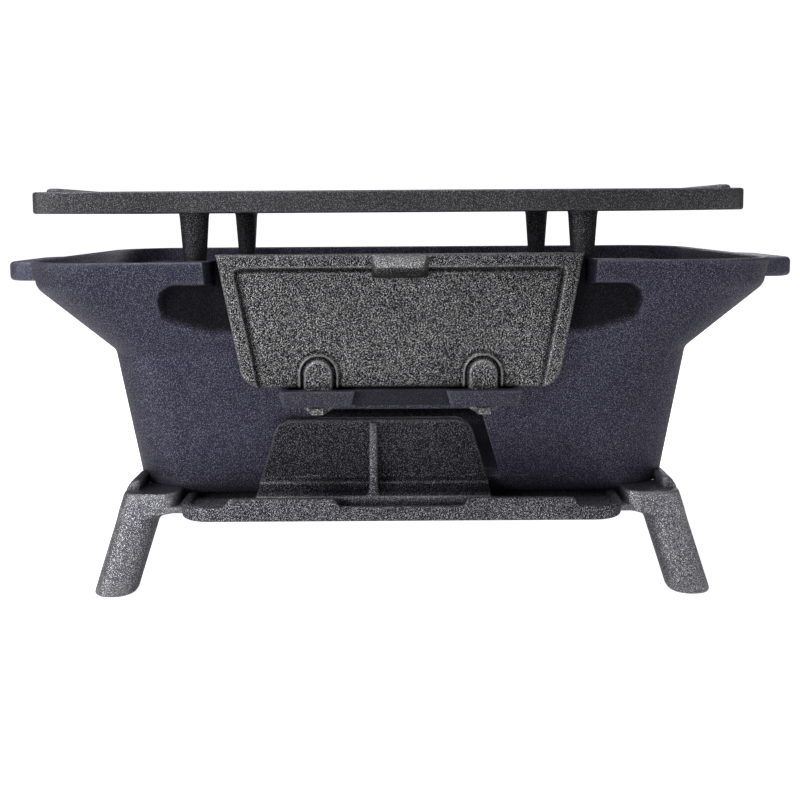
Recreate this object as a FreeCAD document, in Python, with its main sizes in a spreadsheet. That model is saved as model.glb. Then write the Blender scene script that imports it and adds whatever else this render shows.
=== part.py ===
"""Cast-iron hibachi grill: a fire bowl on a four-legged base, with a cooking grate standing
on pegs, a charcoal grate inside, a drop-down fuel door and a sliding draft door.

Millimetres, +Z up, X along the length, the doors face -Y.  The origin is on the ground,
under the middle of the bowl.
"""
import math
import os

import FreeCAD
import Part
import Sketcher
from FreeCAD import Placement, Rotation, Vector

SIZES = [
    # fire bowl
    ("rim_length", 430, "bowl over the rim, along X"),
    ("rim_width", 250, "bowl over the rim, along Y"),
    ("rim_corner", 45, "plan radius of the rim's corners"),
    ("band_corner", 43, "plan radius at the foot of the band"),
    ("crease_corner", 38, "plan radius at the foot of the shoulder"),
    ("foot_corner", 36, "plan radius at the foot of the lower wall"),
    ("bend_corner", 34, "plan radius halfway round the bottom rounding"),
    ("floor_corner", 27, "plan radius of the floor's corners"),
    ("rim_top", 195, "height of the rim above the ground"),
    ("band_height", 16, "height of the upright band under the rim"),
    ("band_inset_x", 2.5, "taper of the band at each end"),
    ("band_inset_y", 5, "taper of the band, front and back"),
    ("crease_drop", 54, "rim top down to the foot of the shoulder"),
    ("crease_inset_x", 43, "rim in to the foot of the shoulder, at each end"),
    ("crease_inset_y", 24, "rim in to the foot of the shoulder, front and back"),
    ("wall_taper_x", 12, "draft of the lower wall over its height, at each end"),
    ("wall_taper_y", 8.5, "draft of the lower wall, front and back"),
    ("bottom_round", 11, "rounding between lower wall and floor"),
    ("bottom_bend", 3.3, "inset and height halfway round it"),
    ("bowl_bottom", 55.5, "height of the bowl's floor above the ground"),
    ("wall_gap", 4.6, "thickness of the bowl's wall"),
    ("floor_gap", 4.6, "thickness of the bowl's floor"),
    ("handle_reach", 35, "end handle out from the rim"),
    ("handle_width", 84, "end handle, along Y"),
    ("handle_thick", 12, "end handle, along Z"),
    ("handle_drop", 3, "rim top down to the handle's top"),
    ("handle_corner", 16, "rounding of the handle's outer corners"),
    # seats of the cooking grate
    ("peg_spacing_x", 221.6, "between the grate's pegs, along X"),
    ("peg_spacing_y", 191, "between the grate's pegs, along Y"),
    ("seat_pitch", 15.2, "high seat to low seat, along X"),
    ("seat_width", 20, "one seat, along X"),
    ("seat_reach", 8, "seat beyond the peg's centre, towards the middle"),
    ("seat_drop", 5, "rim top down to the high seat"),
    ("seat_step", 17, "high seat down to the low seat"),
    ("seat_height", 40, "bracket under the high seat"),
    # door opening, its stop behind the door, and the pockets beside it
    ("door_top_width", 205, "fuel door across its top"),
    ("door_bottom_width", 176, "fuel door across its bottom"),
    ("door_height", 75, "fuel door, along Z"),
    ("door_plate", 6.2, "thickness of the door's panel"),
    ("door_border", 7.5, "width of the raised border"),
    ("border_side", 9, "width of the border at the door's top corners"),
    ("border_rise", 1.5, "border above the panel"),
    ("door_rise", 3.5, "door above the rim top"),
    ("door_face", "=rim_width / 2 - 11.5", "door panel's front face, out from the middle"),
    ("door_play", 3.5, "gap between the door and the ends of the band"),
    ("opening_overlap", 9, "door over the edge of its opening, at each side"),
    ("sill_overlap", 5.4, "door over the sill of its opening"),
    ("opening_inner", "=rim_width / 2 - 59", "the openings are cut from this far out"),
    ("stop_gap", 1, "clearance behind the door"),
    ("stop_wall", 3.2, "thickness of the wall behind the pockets"),
    ("pocket_reach", 27, "pocket beyond the end of the band"),
    ("pocket_tilt", 4, "pocket shallower at its far end"),
    ("pocket_bite", 2.5, "pocket up into the band"),
    ("pocket_height", 30, "pocket under the band"),
    # hinge of the fuel door
    ("ledge_top", 123.2, "top of the hinge ledge"),
    ("ledge_thick", 8.7, "hinge ledge, along Z"),
    ("ledge_front", "=rim_width / 2 - 0.4", "front of the hinge bars, out from the middle"),
    ("ledge_half", 67.5, "half length of the ledge"),
    ("ledge_block", 42.5, "length of each hinge block"),
    ("ledge_setback", 6, "ledge between the blocks, set back"),
    ("bar_depth", 4, "thickness of a hinge bar, along Y"),
    ("bar_round", 1.5, "rounding of a hinge bar"),
    ("hook_play", 0.4, "gap between hook and bar"),
    ("hook_thick", 4, "thickness of a hook"),
    ("hook_width", 15.8, "width of a hook"),
    ("hook_spacing", 92, "between the two hooks"),
    ("hook_side_gap", 0.8, "clearance beside a hook"),
    ("hook_rise", 8.1, "hook up the door, to the centre of its round top"),
    ("hook_wrap", 100, "how far a hook goes round its bar, degrees"),
    # finger lip of the fuel door
    ("lip_width", 31, "finger lip, along X"),
    ("lip_drop", 13.5, "finger lip, down from the door's top"),
    ("lip_reach", 11, "finger lip, out from the panel"),
    ("lip_flat", 3.5, "flat of the lip's top, out from the panel"),
    ("lip_slope", 7.5, "fall of the lip's sloping top"),
    # draft opening and draft slider
    ("draft_top_half", 46, "half width of the draft opening at its top"),
    ("draft_bottom_half", 58, "half width of the draft opening at its bottom"),
    ("draft_top", 108, "top of the draft opening"),
    ("draft_bottom", 67, "bottom of the draft opening"),
    ("slider_overlap", 9, "slider over the edge of the opening, at each side"),
    ("slider_top", 103.5, "top of the slider"),
    ("slider_crease", 67, "where the slider turns out to its foot"),
    ("slider_thick", 4.2, "thickness of the slider's plate"),
    ("slider_gap", 0.5, "clearance between slider and bowl"),
    ("slider_offset", 15.8, "slider stands this far open, to the left"),
    ("slider_corner", 7, "rounding of the slider's top corners"),
    ("slider_lean", 1, "lean of its sides over that rounding"),
    ("foot_front", "=rim_width / 2 - 13", "front of the slider's foot, out from the middle"),
    ("foot_thick", 7, "height of the slider's foot"),
    ("foot_slope", 0.5, "rise of the foot's top towards the plate"),
    ("fin_thick", 5, "finger fin, along X"),
    ("fin_drop", 2, "fin below the slider's top"),
    ("fin_top_reach", 2, "fin out from the slider, at its top"),
    ("fin_knee", 90, "height where the fin's front edge bends"),
    ("fin_knee_reach", 5, "fin out from the slider, at that height"),
    ("fin_setback", 1, "fin back from the front of the foot"),
    ("sliding_gap", 0.4, "clearance under the slider"),
    # base
    ("base_half_x", 161, "tray and leg tops, half length"),
    ("base_half_y", "=rim_width / 2 - 19", "tray, half width"),
    ("tray_bottom", 49.4, "underside of the tray"),
    ("tray_thick", 4, "thickness of the tray"),
    ("apron_half", 126, "half length of the front apron"),
    ("apron_front", "=rim_width / 2 - 3", "front of the apron, out from the middle"),
    ("apron_height", 12.8, "apron, along Z"),
    ("apron_depth", 53, "apron's plan, along Y"),
    ("apron_reach", 37, "apron's wall, back from its front"),
    ("apron_wall", 5, "thickness of the apron"),
    ("apron_corner", 18, "plan radius of the apron's corners"),
    ("notch_depth", 4.7, "air notches in the apron"),
    ("notch_middle_half", 36, "half length of the middle notch"),
    ("notch_inner", 98, "inner end of the end notches"),
    ("notch_outer", 121, "outer end of the end notches"),
    ("leg_width", 24.5, "leg, along X"),
    ("leg_depth", 26, "leg, along Y"),
    ("leg_splay", 20, "foot out from the top of the leg"),
    ("leg_top", 61, "height of the legs' flat tops"),
    ("leg_round", 11, "rounding of the legs' front"),
    ("web_reach", 9, "web from the leg in along the tray"),
    ("web_drop", 5.5, "web below the tray, where it meets the leg"),
    ("web_bend_reach", 2.7, "bend of the web, in from the leg"),
    ("web_bend_drop", 1.1, "bend of the web, below the tray"),
    ("curb_top", 67, "height of the four corner curbs"),
    ("curb_thick", 4.5, "thickness of a curb"),
    ("curb_length", 26, "a curb, along Y"),
    ("curb_setback", 9, "curb in from the tray's front or rear edge"),
    ("recess_gap", 0.8, "clearance round the bowl where it sits in the base"),
    ("pad_radius", 15, "radius of the pads that carry the bowl"),
    # cooking grate
    ("grate_length", 395, "cooking grate, along X"),
    ("grate_width", 236, "cooking grate, along Y"),
    ("grate_thick", 12, "cooking grate, along Z"),
    ("grate_offset", 6.4, "grate stands this far to the left, on its high seats"),
    ("grate_corner", 10, "plan radius of the grate's corners"),
    ("grate_stand", 31.5, "peg's foot up to the grate's underside"),
    ("peg_top_radius", 8.2, "peg at the grate"),
    ("peg_foot_radius", 5.5, "peg at its foot"),
    ("peg_boss", 10, "radius of the solid spot over a peg"),
    ("grate_frame", 11, "rim round the grate's slots"),
    ("grate_spine", 10, "middle rib of the grate"),
    ("slot_width", 8, "slot between two bars"),
    ("slot_pitch", 14.4, "bar to bar"),
    ("slot_count", 26, "slots in one row"),
    ("slot_roundness", 0.45, "rounding of a slot's corners, over its width"),
    ("end_rib_rise", 2.6, "raised rib along each end of the grate"),
    ("end_rib_width", 9, "its width"),
    ("end_rib_length", 184, "its length"),
    ("resting_gap", 0.3, "clearance under a loose piece"),
    # charcoal grate
    ("coal_length", 292, "charcoal grate, along X"),
    ("coal_width", 160, "charcoal grate, along Y"),
    ("coal_thick", 6, "charcoal grate, along Z"),
    ("coal_height", 44, "charcoal grate above the floor"),
    ("coal_corner", 26, "plan radius of its corners"),
    ("coal_slot_width", 8, "its slots"),
    ("coal_slot_pitch", 16, "slot to slot"),
    ("coal_slot_count", 16, "slots in one row"),
    ("coal_frame", 14, "rim round its slots"),
    ("coal_spine", 12, "its middle rib"),
    ("shelf_width", 30, "shelf under each corner of the charcoal grate"),
    ("shelf_spacing", 90, "between the shelves of one end"),
    ("shelf_overlap", 8, "shelf under the grate"),
    # fasteners
    ("bolt_spacing", 150, "between the two bolts"),
    ("bolt_radius", 4, "shank of a bolt"),
    ("bolt_head_radius", 9, "head of a bolt"),
    ("bolt_head_thick", 4.5, "its height"),
    ("bolt_crown_radius", 5.4, "flat of its crown"),
    ("bolt_hole_gap", 0.6, "clearance round a bolt"),
    ("bolt_tail", 5, "thread beyond the wing nut"),
    ("washer_radius", 10, "washer"),
    ("washer_thick", 1.6, "its thickness"),
    ("nut_radius", 7, "hub of a wing nut"),
    ("nut_height", 9, "its height"),
    ("nut_thread_gap", 0.15, "clearance in the wing nut's bore"),
    ("wing_span", 36, "over both wings"),
    ("wing_drop", 8, "tip of a wing below the hub"),
    ("wing_thick", 3.5, "thickness of a wing"),
    ("wing_root", 4.2, "root of a wing, out from the bolt"),
    ("wing_root_high", 7.2, "upper end of the root, above the hub's bottom"),
    ("wing_root_low", 1.8, "lower end of the root, above the hub's bottom"),
    ("wing_tip_high", 2.4, "upper end of the tip, below the hub's bottom"),
    ("wing_tip_slope", 2, "slope of the tip"),
    ("wing_tip_width", 7, "wing in from its tip, at its lowest"),
    # cutters
    ("cut_past", 1, "how far a cutter reaches past what it cuts"),
]

doc = FreeCAD.newDocument("HibachiGrill")
sheet = doc.addObject("Spreadsheet::Sheet", "Sizes")
for row, (alias, value, note) in enumerate(SIZES, start=1):
    sheet.set(f"A{row}", alias)
    sheet.set(f"B{row}", str(value))
    sheet.set(f"C{row}", note)
    sheet.setAlias(f"B{row}", alias)
doc.recompute()

ALIASES = sorted((alias for alias, value, note in SIZES), key=len, reverse=True)


def cells(text):
    """Turn the aliases in an expression into references to the sheet's cells."""
    words = []
    word = ""
    for letter in text + " ":
        if letter.isalnum() or letter == "_":
            word += letter
            continue
        words.append(f"Sizes.{word}" if word in ALIASES else word)
        words.append(letter)
        word = ""
    return "".join(words).strip()


def number(text):
    """The present value of an expression, for a first position that is then bound."""
    result = sheet.evalExpression(cells(str(text)))
    return float(getattr(result, "Value", result))


def bind(thing, **properties):
    """Bind properties to expressions; a double underscore stands for a dot."""
    for name, text in properties.items():
        thing.setExpression(name.replace("__", "."), cells(str(text)))


def place(thing, x="0", y="0", z="0", axis=None, angle=0):
    """Set the turn of a primitive and bind its place."""
    if axis is not None:
        thing.Placement = Placement(Vector(), Rotation(Vector(*axis), angle))
    bind(thing, Placement__Base__x=x, Placement__Base__y=y, Placement__Base__z=z)


def box(name, low, high):
    """A box between two corners, each given as three expressions."""
    thing = doc.addObject("Part::Box", name)
    sides = [f"({b}) - ({a})" for a, b in zip(low, high)]
    bind(thing, Length=sides[0], Width=sides[1], Height=sides[2])
    place(thing, *low)
    return thing


def cylinder(name, radius, height, x="0", y="0", z="0", axis=None, angle=0):
    """A cylinder from its foot at a place, along Z unless it is turned."""
    thing = doc.addObject("Part::Cylinder", name)
    bind(thing, Radius=radius, Height=height)
    place(thing, x, y, z, axis, angle)
    return thing


def fuse(name, pieces):
    """Join pieces into one solid."""
    thing = doc.addObject("Part::MultiFuse", name)
    thing.Shapes = pieces
    thing.Refine = True
    return thing


def common(name, pieces):
    """What several pieces share."""
    thing = doc.addObject("Part::MultiCommon", name)
    thing.Shapes = pieces
    return thing


def cut(name, base, tools):
    """Take tools away from a base."""
    tool = tools[0]
    if len(tools) > 1:
        tool = fuse(name + "_tools", tools)
    thing = doc.addObject("Part::Cut", name)
    thing.Base = base
    thing.Tool = tool
    thing.Refine = True
    return thing


def body(name):
    return doc.addObject("PartDesign::Body", name)


def sketch_on(owner, name, role, offset="0"):
    """A sketch on one of the body's origin planes, moved along its normal by an expression."""
    sketch = owner.newObject("Sketcher::SketchObject", name)
    plane = next(f for f in owner.Origin.OriginFeatures if f.Role == role)
    sketch.AttachmentSupport = [(plane, "")]
    sketch.MapMode = "FlatFace"
    bind(sketch, AttachmentOffset__Base__z=offset)
    return sketch


def fix_point(sketch, geometry, end, across, up):
    """Bind one point of a sketch to two expressions, from the sketch's origin."""
    for kind, text in (("DistanceX", across), ("DistanceY", up)):
        index = sketch.addConstraint(Sketcher.Constraint(kind, -1, 1, geometry, end, number(text)))
        sketch.setExpression(f"Constraints[{index}]", cells(text))


def outline(owner, name, role, points, offset="0"):
    """A closed outline of straight sides through points given as pairs of expressions."""
    sketch = sketch_on(owner, name, role, offset)
    corners = [Vector(number(a), number(b), 0) for a, b in points]
    count = len(corners)
    for i in range(count):
        sketch.addGeometry(Part.LineSegment(corners[i], corners[(i + 1) % count]), False)
    for i in range(count):
        sketch.addConstraint(Sketcher.Constraint("Coincident", i, 2, (i + 1) % count, 1))
    for i, (across, up) in enumerate(points):
        fix_point(sketch, i, 1, across, up)
    return sketch


def rounded(owner, name, half_x, half_y, radius, height, mid_x="0", mid_y="0"):
    """A rounded rectangle in plan, at a height: four sides joined by four quarter arcs."""
    sketch = sketch_on(owner, name, "XY_Plane", height)
    a, b, r = number(half_x), number(half_y), number(radius)
    cx, cy = number(mid_x), number(mid_y)
    quarter = math.pi / 2
    sides = [((-a + r, -b), (a - r, -b)), ((a, -b + r), (a, b - r)),
             ((a - r, b), (-a + r, b)), ((-a, b - r), (-a, -b + r))]
    centres = [(a - r, -b + r), (a - r, b - r), (-a + r, b - r), (-a + r, -b + r)]
    for i in range(4):
        start, end = [Vector(cx + p[0], cy + p[1], 0) for p in sides[i]]
        sketch.addGeometry(Part.LineSegment(start, end), False)
        circle = Part.Circle(Vector(cx + centres[i][0], cy + centres[i][1], 0), Vector(0, 0, 1), r)
        sketch.addGeometry(Part.ArcOfCircle(circle, (i - 1) * quarter, i * quarter), False)
    for i in range(4):
        side, arc, following = 2 * i, 2 * i + 1, (2 * i + 2) % 8
        sketch.addConstraint(Sketcher.Constraint("Tangent", side, 2, arc, 1))
        sketch.addConstraint(Sketcher.Constraint("Tangent", arc, 2, following, 1))
    signs = [(1, -1), (1, 1), (-1, 1), (-1, -1)]
    for i in (0, 2):
        sx, sy = signs[i]
        fix_point(sketch, 2 * i + 1, 3, f"({mid_x}) + {sx} * (({half_x}) - ({radius}))",
                  f"({mid_y}) + {sy} * (({half_y}) - ({radius}))")
    for i in range(4):
        kind = "Horizontal" if i % 2 == 0 else "Vertical"
        sketch.addConstraint(Sketcher.Constraint(kind, 2 * i))
    index = sketch.addConstraint(Sketcher.Constraint("Radius", 1, r))
    sketch.setExpression(f"Constraints[{index}]", cells(radius))
    sketch.addConstraint(Sketcher.Constraint("Equal", 1, 5))
    return sketch


def pad(owner, name, sketch, length, middle=False, reverse=False):
    """Pad a sketch; middle pads it equally to both sides."""
    feature = owner.newObject("PartDesign::Pad", name)
    feature.Profile = sketch
    bind(feature, Length=length)
    if middle:
        feature.SideType = "Symmetric"
    feature.Reversed = reverse
    return feature


def loft(owner, name, sections):
    """A loft of straight runs through plan sections, lowest first."""
    feature = owner.newObject("PartDesign::AdditiveLoft", name)
    feature.Profile = sections[0]
    feature.Sections = sections[1:]
    feature.Ruled = True
    return feature


def prism(name, role, points, length, offset="0", middle=True, reverse=False):
    """A body of its own: one outline padded along its plane's normal."""
    owner = body(name)
    sketch = outline(owner, name + "_outline", role, points, offset)
    pad(owner, name + "_pad", sketch, length, middle, reverse)
    return owner


def round_edges(name, base, radius, wanted):
    """Round the edges of a base for which wanted(edge) holds."""
    doc.recompute()
    feature = doc.addObject("Part::Fillet", name)
    feature.Base = base
    size = number(radius)
    edges = [i for i, edge in enumerate(base.Shape.Edges, start=1) if wanted(edge)]
    feature.Edges = [(i, size, size) for i in edges]
    return feature


# Heights and half sizes that several pieces share.
BAND_BOTTOM = "(rim_top - band_height)"
CREASE = "(rim_top - crease_drop)"
WALL_FOOT = "(bowl_bottom + bottom_round)"
RIM_X, RIM_Y = "(rim_length / 2)", "(rim_width / 2)"
BAND_X, BAND_Y = f"({RIM_X} - band_inset_x)", f"({RIM_Y} - band_inset_y)"
CREASE_X, CREASE_Y = f"({RIM_X} - crease_inset_x)", f"({RIM_Y} - crease_inset_y)"
FOOT_X, FOOT_Y = f"({CREASE_X} - wall_taper_x)", f"({CREASE_Y} - wall_taper_y)"
FLOOR_TOP = "(bowl_bottom + floor_gap)"
TRAY_TOP = "(tray_bottom + tray_thick)"
SEAT = "(rim_top - seat_drop)"
DOOR_TOP = "(rim_top + door_rise)"
DOOR_BOTTOM = f"({DOOR_TOP} - door_height)"
DOOR_REAR = "(door_face - door_plate)"
STOP_FACE = f"({DOOR_REAR} - stop_gap)"
BAND_CUT = "(door_top_width / 2 + door_play)"
PIVOT_Y = "(ledge_front - bar_depth / 2)"
PIVOT_Z = "(ledge_top - ledge_thick / 2)"
BAR_REACH = "(sqrt((bar_depth / 2 - bar_round) ^ 2 + (ledge_thick / 2 - bar_round) ^ 2) + bar_round)"
HOOK_IN = f"({BAR_REACH} + hook_play)"
HOOK_OUT = f"({HOOK_IN} + hook_thick)"
COAL_BOTTOM = f"({FLOOR_TOP} + coal_height)"
GRATE_BOTTOM = f"({SEAT} + resting_gap + grate_stand)"
SIDES = (("left", -1), ("right", 1))
FACES = (("front", -1), ("rear", 1))


def wall_line(height):
    """How far out the lower wall's outer face is at a height, front and back."""
    return f"({FOOT_Y} + (({height}) - {WALL_FOOT}) * wall_taper_y / ({CREASE} - {WALL_FOOT}))"


def bowl_sections(owner, prefix, inset, heights, shrink):
    """The plan sections of the bowl's outside, or of its hollow, from the bottom up."""
    half = f"(bottom_bend + {inset})"
    rows = [
        (f"{FOOT_X} - bottom_round - {inset}", f"{FOOT_Y} - bottom_round - {inset}",
         f"floor_corner - {shrink}", heights[0]),
        (f"{FOOT_X} - {half}", f"{FOOT_Y} - {half}", f"bend_corner - {shrink}", heights[1]),
        (f"{FOOT_X} - {inset}", f"{FOOT_Y} - {inset}", f"foot_corner - {shrink}", heights[2]),
        (f"{CREASE_X} - {inset}", f"{CREASE_Y} - {inset}", f"crease_corner - {shrink}", heights[3]),
        (f"{BAND_X} - {inset}", f"{BAND_Y} - {inset}", f"band_corner - {shrink}", heights[4]),
        (f"{RIM_X} - {inset}", f"{RIM_Y} - {inset}", f"rim_corner - {shrink}", heights[5]),
    ]
    return [rounded(owner, f"{prefix}_{i}", a, b, r, z) for i, (a, b, r, z) in enumerate(rows)]


def make_fire_bowl():
    """The casting that holds the fire: outside, handles and ledge, less its hollow and openings."""
    outside = body("bowl_outside")
    heights = ["bowl_bottom", "bowl_bottom + bottom_bend", WALL_FOOT, CREASE, BAND_BOTTOM, "rim_top"]
    loft(outside, "outside_loft", bowl_sections(outside, "outside", "0", heights, "0"))

    handle = body("bowl_handles")
    tab = rounded(handle, "handle_plan", f"{RIM_X} + handle_reach", "handle_width / 2", "handle_corner",
                  "rim_top - handle_drop - handle_thick")
    pad(handle, "handle_pad", tab, "handle_thick")

    ledge = make_ledge()

    hollow = body("bowl_hollow")
    heights = [FLOOR_TOP, f"{FLOOR_TOP} + bottom_bend", f"{FLOOR_TOP} + bottom_round",
               CREASE, BAND_BOTTOM, "rim_top"]
    loft(hollow, "hollow_loft", bowl_sections(hollow, "hollow", "wall_gap", heights, "wall_gap"))

    kept = [box("pocket_backing",
                (f"-({BAND_CUT} + pocket_reach + stop_wall)", f"-{RIM_Y}", f"{BAND_BOTTOM} - pocket_height"),
                (f"{BAND_CUT} + pocket_reach + stop_wall", f"-({STOP_FACE} - stop_wall)", "rim_top"))]
    for face, fy in FACES:
        for side, sx in SIDES:
            kept += make_seat(f"{face}_{side}", sx, fy)
    kept += make_shelves()
    space = cut("bowl_space", hollow, kept)

    shell = cut("bowl_shell", fuse("bowl_solid", [outside, handle, ledge]), [space])
    return cut("fire_bowl", shell, make_bowl_openings())


def make_ledge():
    """The ledge that carries the fuel door: two slotted blocks whose front bars are the hinge
    pins, and a set-back stretch between them."""
    middle = box("ledge_middle",
                 ("-ledge_half", "-(ledge_front - ledge_setback)", "ledge_top - ledge_thick"),
                 ("ledge_half", f"-{FOOT_Y} + wall_gap", "ledge_top"))
    pieces = [middle]
    for side, sx in SIDES:
        near = f"{sx} * ledge_half"
        far = f"{sx} * (ledge_half - ledge_block)"
        low, high = (near, far) if sx < 0 else (far, near)
        block = prism(f"ledge_block_{side}", "YZ_Plane",
                      [("-ledge_front", "ledge_top"),
                       ("-ledge_front", "ledge_top - ledge_thick + bar_round"),
                       ("-ledge_front + bar_round", "ledge_top - ledge_thick"),
                       (f"-{FOOT_Y} + wall_gap", "ledge_top - ledge_thick"),
                       (f"-{FOOT_Y} + wall_gap", "ledge_top")],
                      f"({high}) - ({low})", offset=low, middle=False)
        pieces.append(block)
    return fuse("ledge", pieces)


def make_seat(name, sx, fy):
    """Two seats side by side, where a peg of the cooking grate stands: high on the left, low on
    the right."""
    high_x = f"({sx} * peg_spacing_x / 2 - grate_offset)"
    near = f"{fy} * (peg_spacing_y / 2 - seat_reach)"
    wall = f"{fy} * {RIM_Y}"
    low_y, high_y = (wall, near) if fy < 0 else (near, wall)
    bottom = f"{SEAT} - seat_height"
    high = box(f"high_seat_{name}",
               (f"{high_x} - seat_width + seat_pitch / 2", low_y, bottom),
               (f"{high_x} + seat_pitch / 2", high_y, SEAT))
    low = box(f"low_seat_{name}",
              (f"{high_x} + seat_pitch / 2", low_y, bottom),
              (f"{high_x} + seat_pitch / 2 + seat_width", high_y, f"{SEAT} - seat_step"))
    return [high, low]


def make_shelves():
    """Four small shelves on the end walls, under the corners of the charcoal grate."""
    shelves = []
    for side, sx in SIDES:
        for face, fy in FACES:
            near = f"{sx} * (coal_length / 2 - shelf_overlap)"
            wall = f"{sx} * {RIM_X}"
            low_x, high_x = (wall, near) if sx < 0 else (near, wall)
            middle = f"{fy} * shelf_spacing / 2"
            shelves.append(box(f"shelf_{face}_{side}",
                               (low_x, f"{middle} - shelf_width / 2", FLOOR_TOP),
                               (high_x, f"{middle} + shelf_width / 2", COAL_BOTTOM)))
    return shelves


def make_bowl_openings():
    """Cutters for the door opening, the gap in the band, the pockets beside it, the slots in
    the ledge, the draft opening and the bolt holes."""
    narrow = "(door_bottom_width / 2 - opening_overlap)"
    wide = "(door_top_width / 2 - opening_overlap)"
    door_sill = f"({DOOR_BOTTOM} + sill_overlap)"
    past_rim = "rim_top + cut_past"
    opening = prism("door_opening", "XZ_Plane",
                    [(f"-{narrow}", door_sill), (narrow, door_sill),
                     (wide, past_rim), (f"-{wide}", past_rim)],
                    f"{RIM_Y} - opening_inner", offset="opening_inner", middle=False)
    far = f"({BAND_CUT} + pocket_reach)"
    front = f"(-{RIM_Y} - cut_past)"
    band_gap = box("band_gap", (f"-{BAND_CUT}", front, f"{BAND_BOTTOM} - pocket_height"),
                   (BAND_CUT, f"-{STOP_FACE}", past_rim))
    plan = prism("pocket_plan", "XY_Plane",
                 [(f"-{far}", front), (far, front), (far, f"-({STOP_FACE} + pocket_tilt)"),
                  (BAND_CUT, f"-{STOP_FACE}"), (f"-{BAND_CUT}", f"-{STOP_FACE}"),
                  (f"-{far}", f"-({STOP_FACE} + pocket_tilt)")],
                 "pocket_height + pocket_bite", offset=f"{BAND_BOTTOM} - pocket_height", middle=False)
    cutters = [opening, band_gap, plan]
    for side, sx in SIDES:
        middle = f"{sx} * hook_spacing / 2"
        half = "(hook_width / 2 + hook_side_gap)"
        cutters.append(box(f"hook_slot_{side}",
                           (f"{middle} - {half}", "-(ledge_front - bar_depth)",
                            "ledge_top - ledge_thick - cut_past"),
                           (f"{middle} + {half}", f"-({PIVOT_Y} - {HOOK_OUT} - hook_side_gap)",
                            "ledge_top + cut_past")))
        cutters.append(cylinder(f"bowl_bolt_hole_{side}", "bolt_radius + bolt_hole_gap",
                                "floor_gap + 2 * cut_past", f"{sx} * bolt_spacing / 2", "0",
                                "bowl_bottom - cut_past"))
    cutters.append(prism("draft_opening", "XZ_Plane",
                         [("-draft_bottom_half", "draft_bottom"), ("draft_bottom_half", "draft_bottom"),
                          ("draft_top_half", "draft_top"), ("-draft_top_half", "draft_top")],
                         f"{CREASE_Y} - opening_inner", offset="opening_inner", middle=False))
    return cutters


def make_fuel_door():
    """The drop-down door: a tapered panel with a raised border at its top and sides, a finger
    lip, and two hooks that go round the ledge's bars."""
    top, bottom = "door_top_width / 2", "door_bottom_width / 2"
    taper = "(door_top_width - door_bottom_width) / 2 / door_height"
    edge = [(f"-{bottom} + door_border", DOOR_BOTTOM), (f"{bottom} - door_border", DOOR_BOTTOM),
            (f"{bottom} + door_border * {taper}", f"{DOOR_BOTTOM} + door_border"),
            (top, DOOR_TOP), (f"-{top}", DOOR_TOP),
            (f"-{bottom} - door_border * {taper}", f"{DOOR_BOTTOM} + door_border")]
    panel = prism("door_panel", "XZ_Plane", edge, "door_plate", offset=DOOR_REAR, middle=False)
    border_out = prism("door_border_outer", "XZ_Plane", edge, "border_rise", offset="door_face",
                       middle=False)
    border_in = prism("door_border_inner", "XZ_Plane",
                      [(f"-{bottom} + door_border", f"{DOOR_BOTTOM} - cut_past"),
                       (f"{bottom} - door_border", f"{DOOR_BOTTOM} - cut_past"),
                       (f"{top} - border_side", f"{DOOR_TOP} - door_border"),
                       (f"-{top} + border_side", f"{DOOR_TOP} - door_border")],
                      "border_rise + cut_past", offset="door_face", middle=False)
    border = cut("door_border_frame", border_out, [border_in])
    lip = prism("door_lip", "YZ_Plane",
                [("-door_face + door_plate / 2", DOOR_TOP), ("-door_face - lip_flat", DOOR_TOP),
                 ("-door_face - lip_reach", f"{DOOR_TOP} - lip_slope"),
                 ("-door_face - lip_reach", f"{DOOR_TOP} - lip_drop"),
                 ("-door_face + door_plate / 2", f"{DOOR_TOP} - lip_drop")],
                "lip_width")
    pieces = [panel, border, lip]
    for side, sx in SIDES:
        middle = f"{sx} * hook_spacing / 2"
        pieces += make_hook(side, middle)
    return fuse("fuel_door", pieces)


def make_hook(side, middle):
    """One hook: a round-topped strap on the door's face, and a part ring round the hinge bar."""
    front, rear = f"-({PIVOT_Y} - {HOOK_IN})", f"-({PIVOT_Y} - {HOOK_OUT})"
    strap = box(f"hook_strap_{side}", (f"{middle} - hook_width / 2", front, PIVOT_Z),
                (f"{middle} + hook_width / 2", rear, f"{DOOR_BOTTOM} + hook_rise"))
    root = box(f"hook_root_{side}", (f"{middle} - hook_width / 2", front, DOOR_BOTTOM),
               (f"{middle} + hook_width / 2", f"-{DOOR_REAR}", f"{DOOR_BOTTOM} + hook_rise"))
    top = cylinder(f"hook_top_{side}", "hook_width / 2", f"{PIVOT_Y} - {HOOK_IN} - {DOOR_REAR}", middle,
                   f"-{DOOR_REAR}", f"{DOOR_BOTTOM} + hook_rise", axis=(1, 0, 0), angle=90)
    ring = doc.addObject("Part::Cylinder", f"hook_ring_{side}")
    bind(ring, Radius=HOOK_OUT, Height="hook_width", Angle="hook_wrap")
    across = Rotation(Vector(0, 1, 0), Vector(0, 0, 1), Vector(1, 0, 0), "ZXY")
    ring.Placement = Placement(Vector(), Rotation(Vector(1, 0, 0), -number("hook_wrap")).multiply(across))
    place(ring, f"{middle} - hook_width / 2", f"-{PIVOT_Y}", PIVOT_Z)
    bore = cylinder(f"hook_bore_{side}", HOOK_IN, "hook_width + 2 * cut_past",
                    f"{middle} - hook_width / 2 - cut_past", f"-{PIVOT_Y}", PIVOT_Z,
                    axis=(0, 1, 0), angle=90)
    return [strap, root, top, cut(f"hook_curl_{side}", ring, [bore])]


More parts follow.
